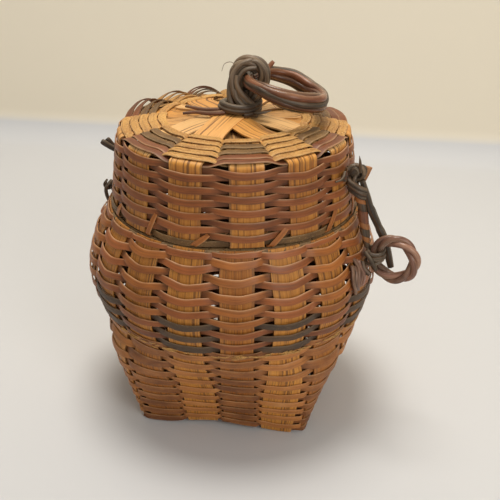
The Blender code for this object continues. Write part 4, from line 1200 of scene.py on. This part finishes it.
latchStrap = {
    "wrap": ((52.9, 115.0, -0.8), (53.9, 114.2, -2.4), (56.4, 113.0, -3.0), (58.6, 111.8, -2.6),
             (60.0, 110.8, -0.8)),
    "wraps": ((-0.6, 0.2, 1.2), (1.3, -0.1, 1.35), (2.9, 0.1, 0.9)),      # how much lower, tone, radius
    "inner": ((56.2, 112.4), (57.0, 109.6), (58.9, 103.2), (60.4, 94.9), (61.7, 89.0), (62.19, 85.6)),
    # bands of the inner leg: length in millimetres, finish, tone
    "bands": ((2.6, 0, 0.1), (5.2, 2, 0.75), (3.4, 0, 0.15), (5.6, 1, 0.55), (2.8, 3, 0.55), (3.6, 0, 0.2),
              (2.6, 3, 0.45), (3.0, 0, 0.1)),
    "outer": ((58.4, 115.4, -0.9), (59.3, 112.6, -0.5), (60.6, 108.4, 0.4), (62.0, 103.0, 1.5),
              (65.0, 94.9, 3.9), (68.5, 87.9, 4.3), (71.8, 76.8, 4.4)),
    "outerRadii": ((0, 0.29, 0.33, 0.55, 0.59, 0.9, 1), (1.2, 1.45, 1.8, 1.55, 1.8, 1.55, 1.35)),
    "bindingEnds": ((((62.6, 85.4, -3.4), (65.0, 83.2, -4.2), (66.8, 80.2, -3.6), (67.4, 77.6, -2.2)), 1.0),
                    (((61.6, 80.6, -3.2), (63.0, 77.8, -4.0), (65.4, 75.6, -3.8)), 1.1)),
}


def makeLatchStrap():
    heap = newHeap()
    reach, height = latch["lug"]
    turn = fullTurn(40)
    eye = latchPlace(reach, height - 3.0 + 2.35 * np.sin(turn), 2.35 * np.cos(turn))
    addStrand(heap, eye, 0.9, 0.25, closed=True, sides=10)
    for lower, tone, girth in latchStrap["wraps"]:
        addCane(heap, latchPoints(latchStrap["wrap"]) - (0, 0, lower), girth, 40, tone, 0.1)
    pieceFrom(heap, "strapEye", ("blackRattan",), "latch_strap", ["strap_eye"])

    heap = newHeap()
    inner = smoothPath(latchPoints(latchStrap["inner"]), 120)
    normals, others = pathFrames(inner, start=(0, 1, 0))
    lengths = pathLength(inner)
    scale = lengths[-1] / sum(length for length, slot, tone in latchStrap["bands"])
    start = 0.0
    turn = fullTurn(16)
    cosine, sine = np.cos(turn), np.sin(turn)
    share = np.linspace(0, 1, 12)[:, None]
    for k, (length, slot, tone) in enumerate(latchStrap["bands"]):
        stop = start + length * scale
        along = start + (stop - start) * share
        at = np.clip(along + 0.9 * sine, 0, lengths[-1])
        centre, n, o = (np.stack([np.interp(at, lengths, v[:, axis]) for axis in range(3)], -1)
                        for v in (inner, normals, others))
        girth = 1.85 + 0.18 * (k % 2) + 0.08 * np.sin(math.pi * share) - 0.12 * (share > 0.99)
        girth = (girth * (1 - 0.42 * smoothStep(at / lengths[-1] * 3 - 2)))[..., None]
        grid = centre + girth * (n * cosine[:, None] * 0.8 + o * sine[:, None])
        addGrid(heap, grid, along[:, 0], turn * 1.5, tone, 0.3, 0.0, slot)
        start = stop
    finish = ("blackRattan", "redRattan", "orangeSplit", "tanSplit")
    pieceFrom(heap, "strapLegInner", finish, "latch_strap", ["strap_leg_inner"])

    heap = newHeap()
    addCane(heap, latchPoints(latchStrap["outer"]), latchStrap["outerRadii"], 60, -0.3)
    pieceFrom(heap, "strapLegOuter", ("blackRattan",), "latch_strap", ["strap_leg_outer"])

    # loose turns round the ring that lie at different slants
    heap = newHeap()
    reach, height = latch["binding"]
    turns = 4
    share = np.linspace(0, 1, 130)
    lay = math.tau * turns * share + 2.6
    slant = 0.9 * np.sin(2.4 * share * math.tau) * np.cos(lay - 0.6)
    centre = latchPlace(reach, height - 2.6 + 5.4 * share + slant)
    out = latchPlace(np.cos(lay), 0.0, np.sin(lay)) * (3.55 + 0.25 * np.sin(5 * share * math.tau))[:, None]
    addStrand(heap, centre + out, 0.74, 0.35 + 0.3 * np.sin(7 * share))
    for points, girth in latchStrap["bindingEnds"]:
        addCane(heap, latchPoints(points), girth, 24, 0.15, 0.1)
    pieceFrom(heap, "ringBinding", ("blackRattan",), "latch_strap", ["ring_binding"])


latchRing = {"radius": 8.4, "offset": 1.3, "twists": 2, "strandRadius": 1.38, "tones": (0.85, 0.5, 0.65)}


def makeLatchRing():
    heap = newHeap()
    reach, height = latch["binding"]
    turn = fullTurn(110)
    out = latchPlace(-np.cos(turn), np.sin(turn))
    path = latchPlace(reach + latchRing["radius"], height) + out * latchRing["radius"]
    frames = out, np.broadcast_to(latchPlace(0.0, 0.0, 1.0), out.shape)
    dark = 0.5 * np.clip(np.cos(turn), 0, 1)
    tones = latchRing["tones"]
    routes = twisted(path, len(tones), latchRing["offset"], latchRing["twists"], 0.6, frames, True)
    for tone, route in zip(tones, routes):
        addStrand(heap, route, latchRing["strandRadius"], tone - dark, 0.5 * dark, closed=True, sides=10)
    pieceFrom(heap, "latchRing", ("plumRattan",), "latch_ring", ["latch_ring"])


def makeBodyLug():
    heap = newHeap()
    bow = np.sin(np.linspace(0, math.pi, 26))
    for k, turn in enumerate((-29.6, -28.0, -26.4, -24.8, -23.4)):
        z = np.linspace(69.6 + 0.8 * (k % 2), 83.2 - 1.3 * ((k + 1) % 3), 26)
        angle = np.radians(turn + 0.8 * np.cos(np.linspace(0, math.tau, 26) + k))
        route = around(angle, bodyRadius(angle, z) + 0.25 + 0.6 * bow, z + 0.4 * k)
        addStrand(heap, route, 0.85, 0.1 + 0.12 * k, 0.1)
    pieceFrom(heap, "bodyLug", ("plumRattan",), "basket", ["body_lug"])


# Hinge at -X

hinge = {
    "x": -56.85,
    "z": 99.3954,
    "eyeRadius": 1.75,
    "pinRadius": 0.85,
    "strapHeight": 18,
    "staple": ((-55.4, 4.4, 92.4), (-56.4, 4.5, 94.6), (-57.0, 4.4, 97.2), (-57.0, 3.9, 99.0)),
    "tieEnds": ((-0.95, (-58.6, -1.3, 119.9)), (0.95, (-57.0, 1.4, 120.2))),
}


def makeHinge():
    x, z, radius = hinge["x"], hinge["z"], hinge["eyeRadius"]
    heap = newHeap()
    for side in (-1.5, -0.5, 0.5, 1.5):
        turns = -math.radians(230) * (1 - np.arange(14) / 13)
        points = [(x + radius * math.cos(a), side, z + radius * math.sin(a)) for a in turns]
        for share in (0.3, 0.65, 1.0):
            level = z + hinge["strapHeight"] * share
            points.append((-(lidRadius(level) + 0.45), side * (1 - 0.25 * share), level))
        addCane(heap, points, 0.5, 60, 0.2 + 0.05 * side, 0.1)
    across = np.linspace(-1, 1, 24)
    for k in range(3):
        level = z + 7.5 + 3.4 * k
        out = lidRadius(level) + 0.4 + 0.5 * np.sqrt(1 - across ** 2)
        addStrand(heap, np.stack([-out, across * 2.6, level + 0.7 * across], -1), 0.4, 0.3, 0.1, sides=6)
    pieceFrom(heap, "hingeStrap", ("blackRattan",), "lid", ["hinge_strap"])

    heap = newHeap()
    half = [*hinge["staple"], (x, 2.6, z)]
    addCane(heap, [(a, -b, c) for a, b, c in half] + half[::-1], hinge["pinRadius"], 80, 0.25, 0.1)
    pieceFrom(heap, "hingeStaple", ("blackRattan",), "basket", ["hinge_staple"])

    heap = newHeap()
    radii = (0, 0.8, 0.95, 1), (1.1, 1.35, 1.25, 0.8)
    for side, tip in hinge["tieEnds"]:
        addCane(heap, [(-50.8, side, 115.4), (-54.0, side * 1.1, 117.0), tip], radii, 24, -0.3, 0.2, 0, 10)
    pieceFrom(heap, "hingeTie", ("blackRattan",), "lid", ["hinge_tie"])


makeLatchLug()
makeLatchStrap()
makeLatchRing()
makeBodyLug()
makeHinge()
print("latch and hinge made")
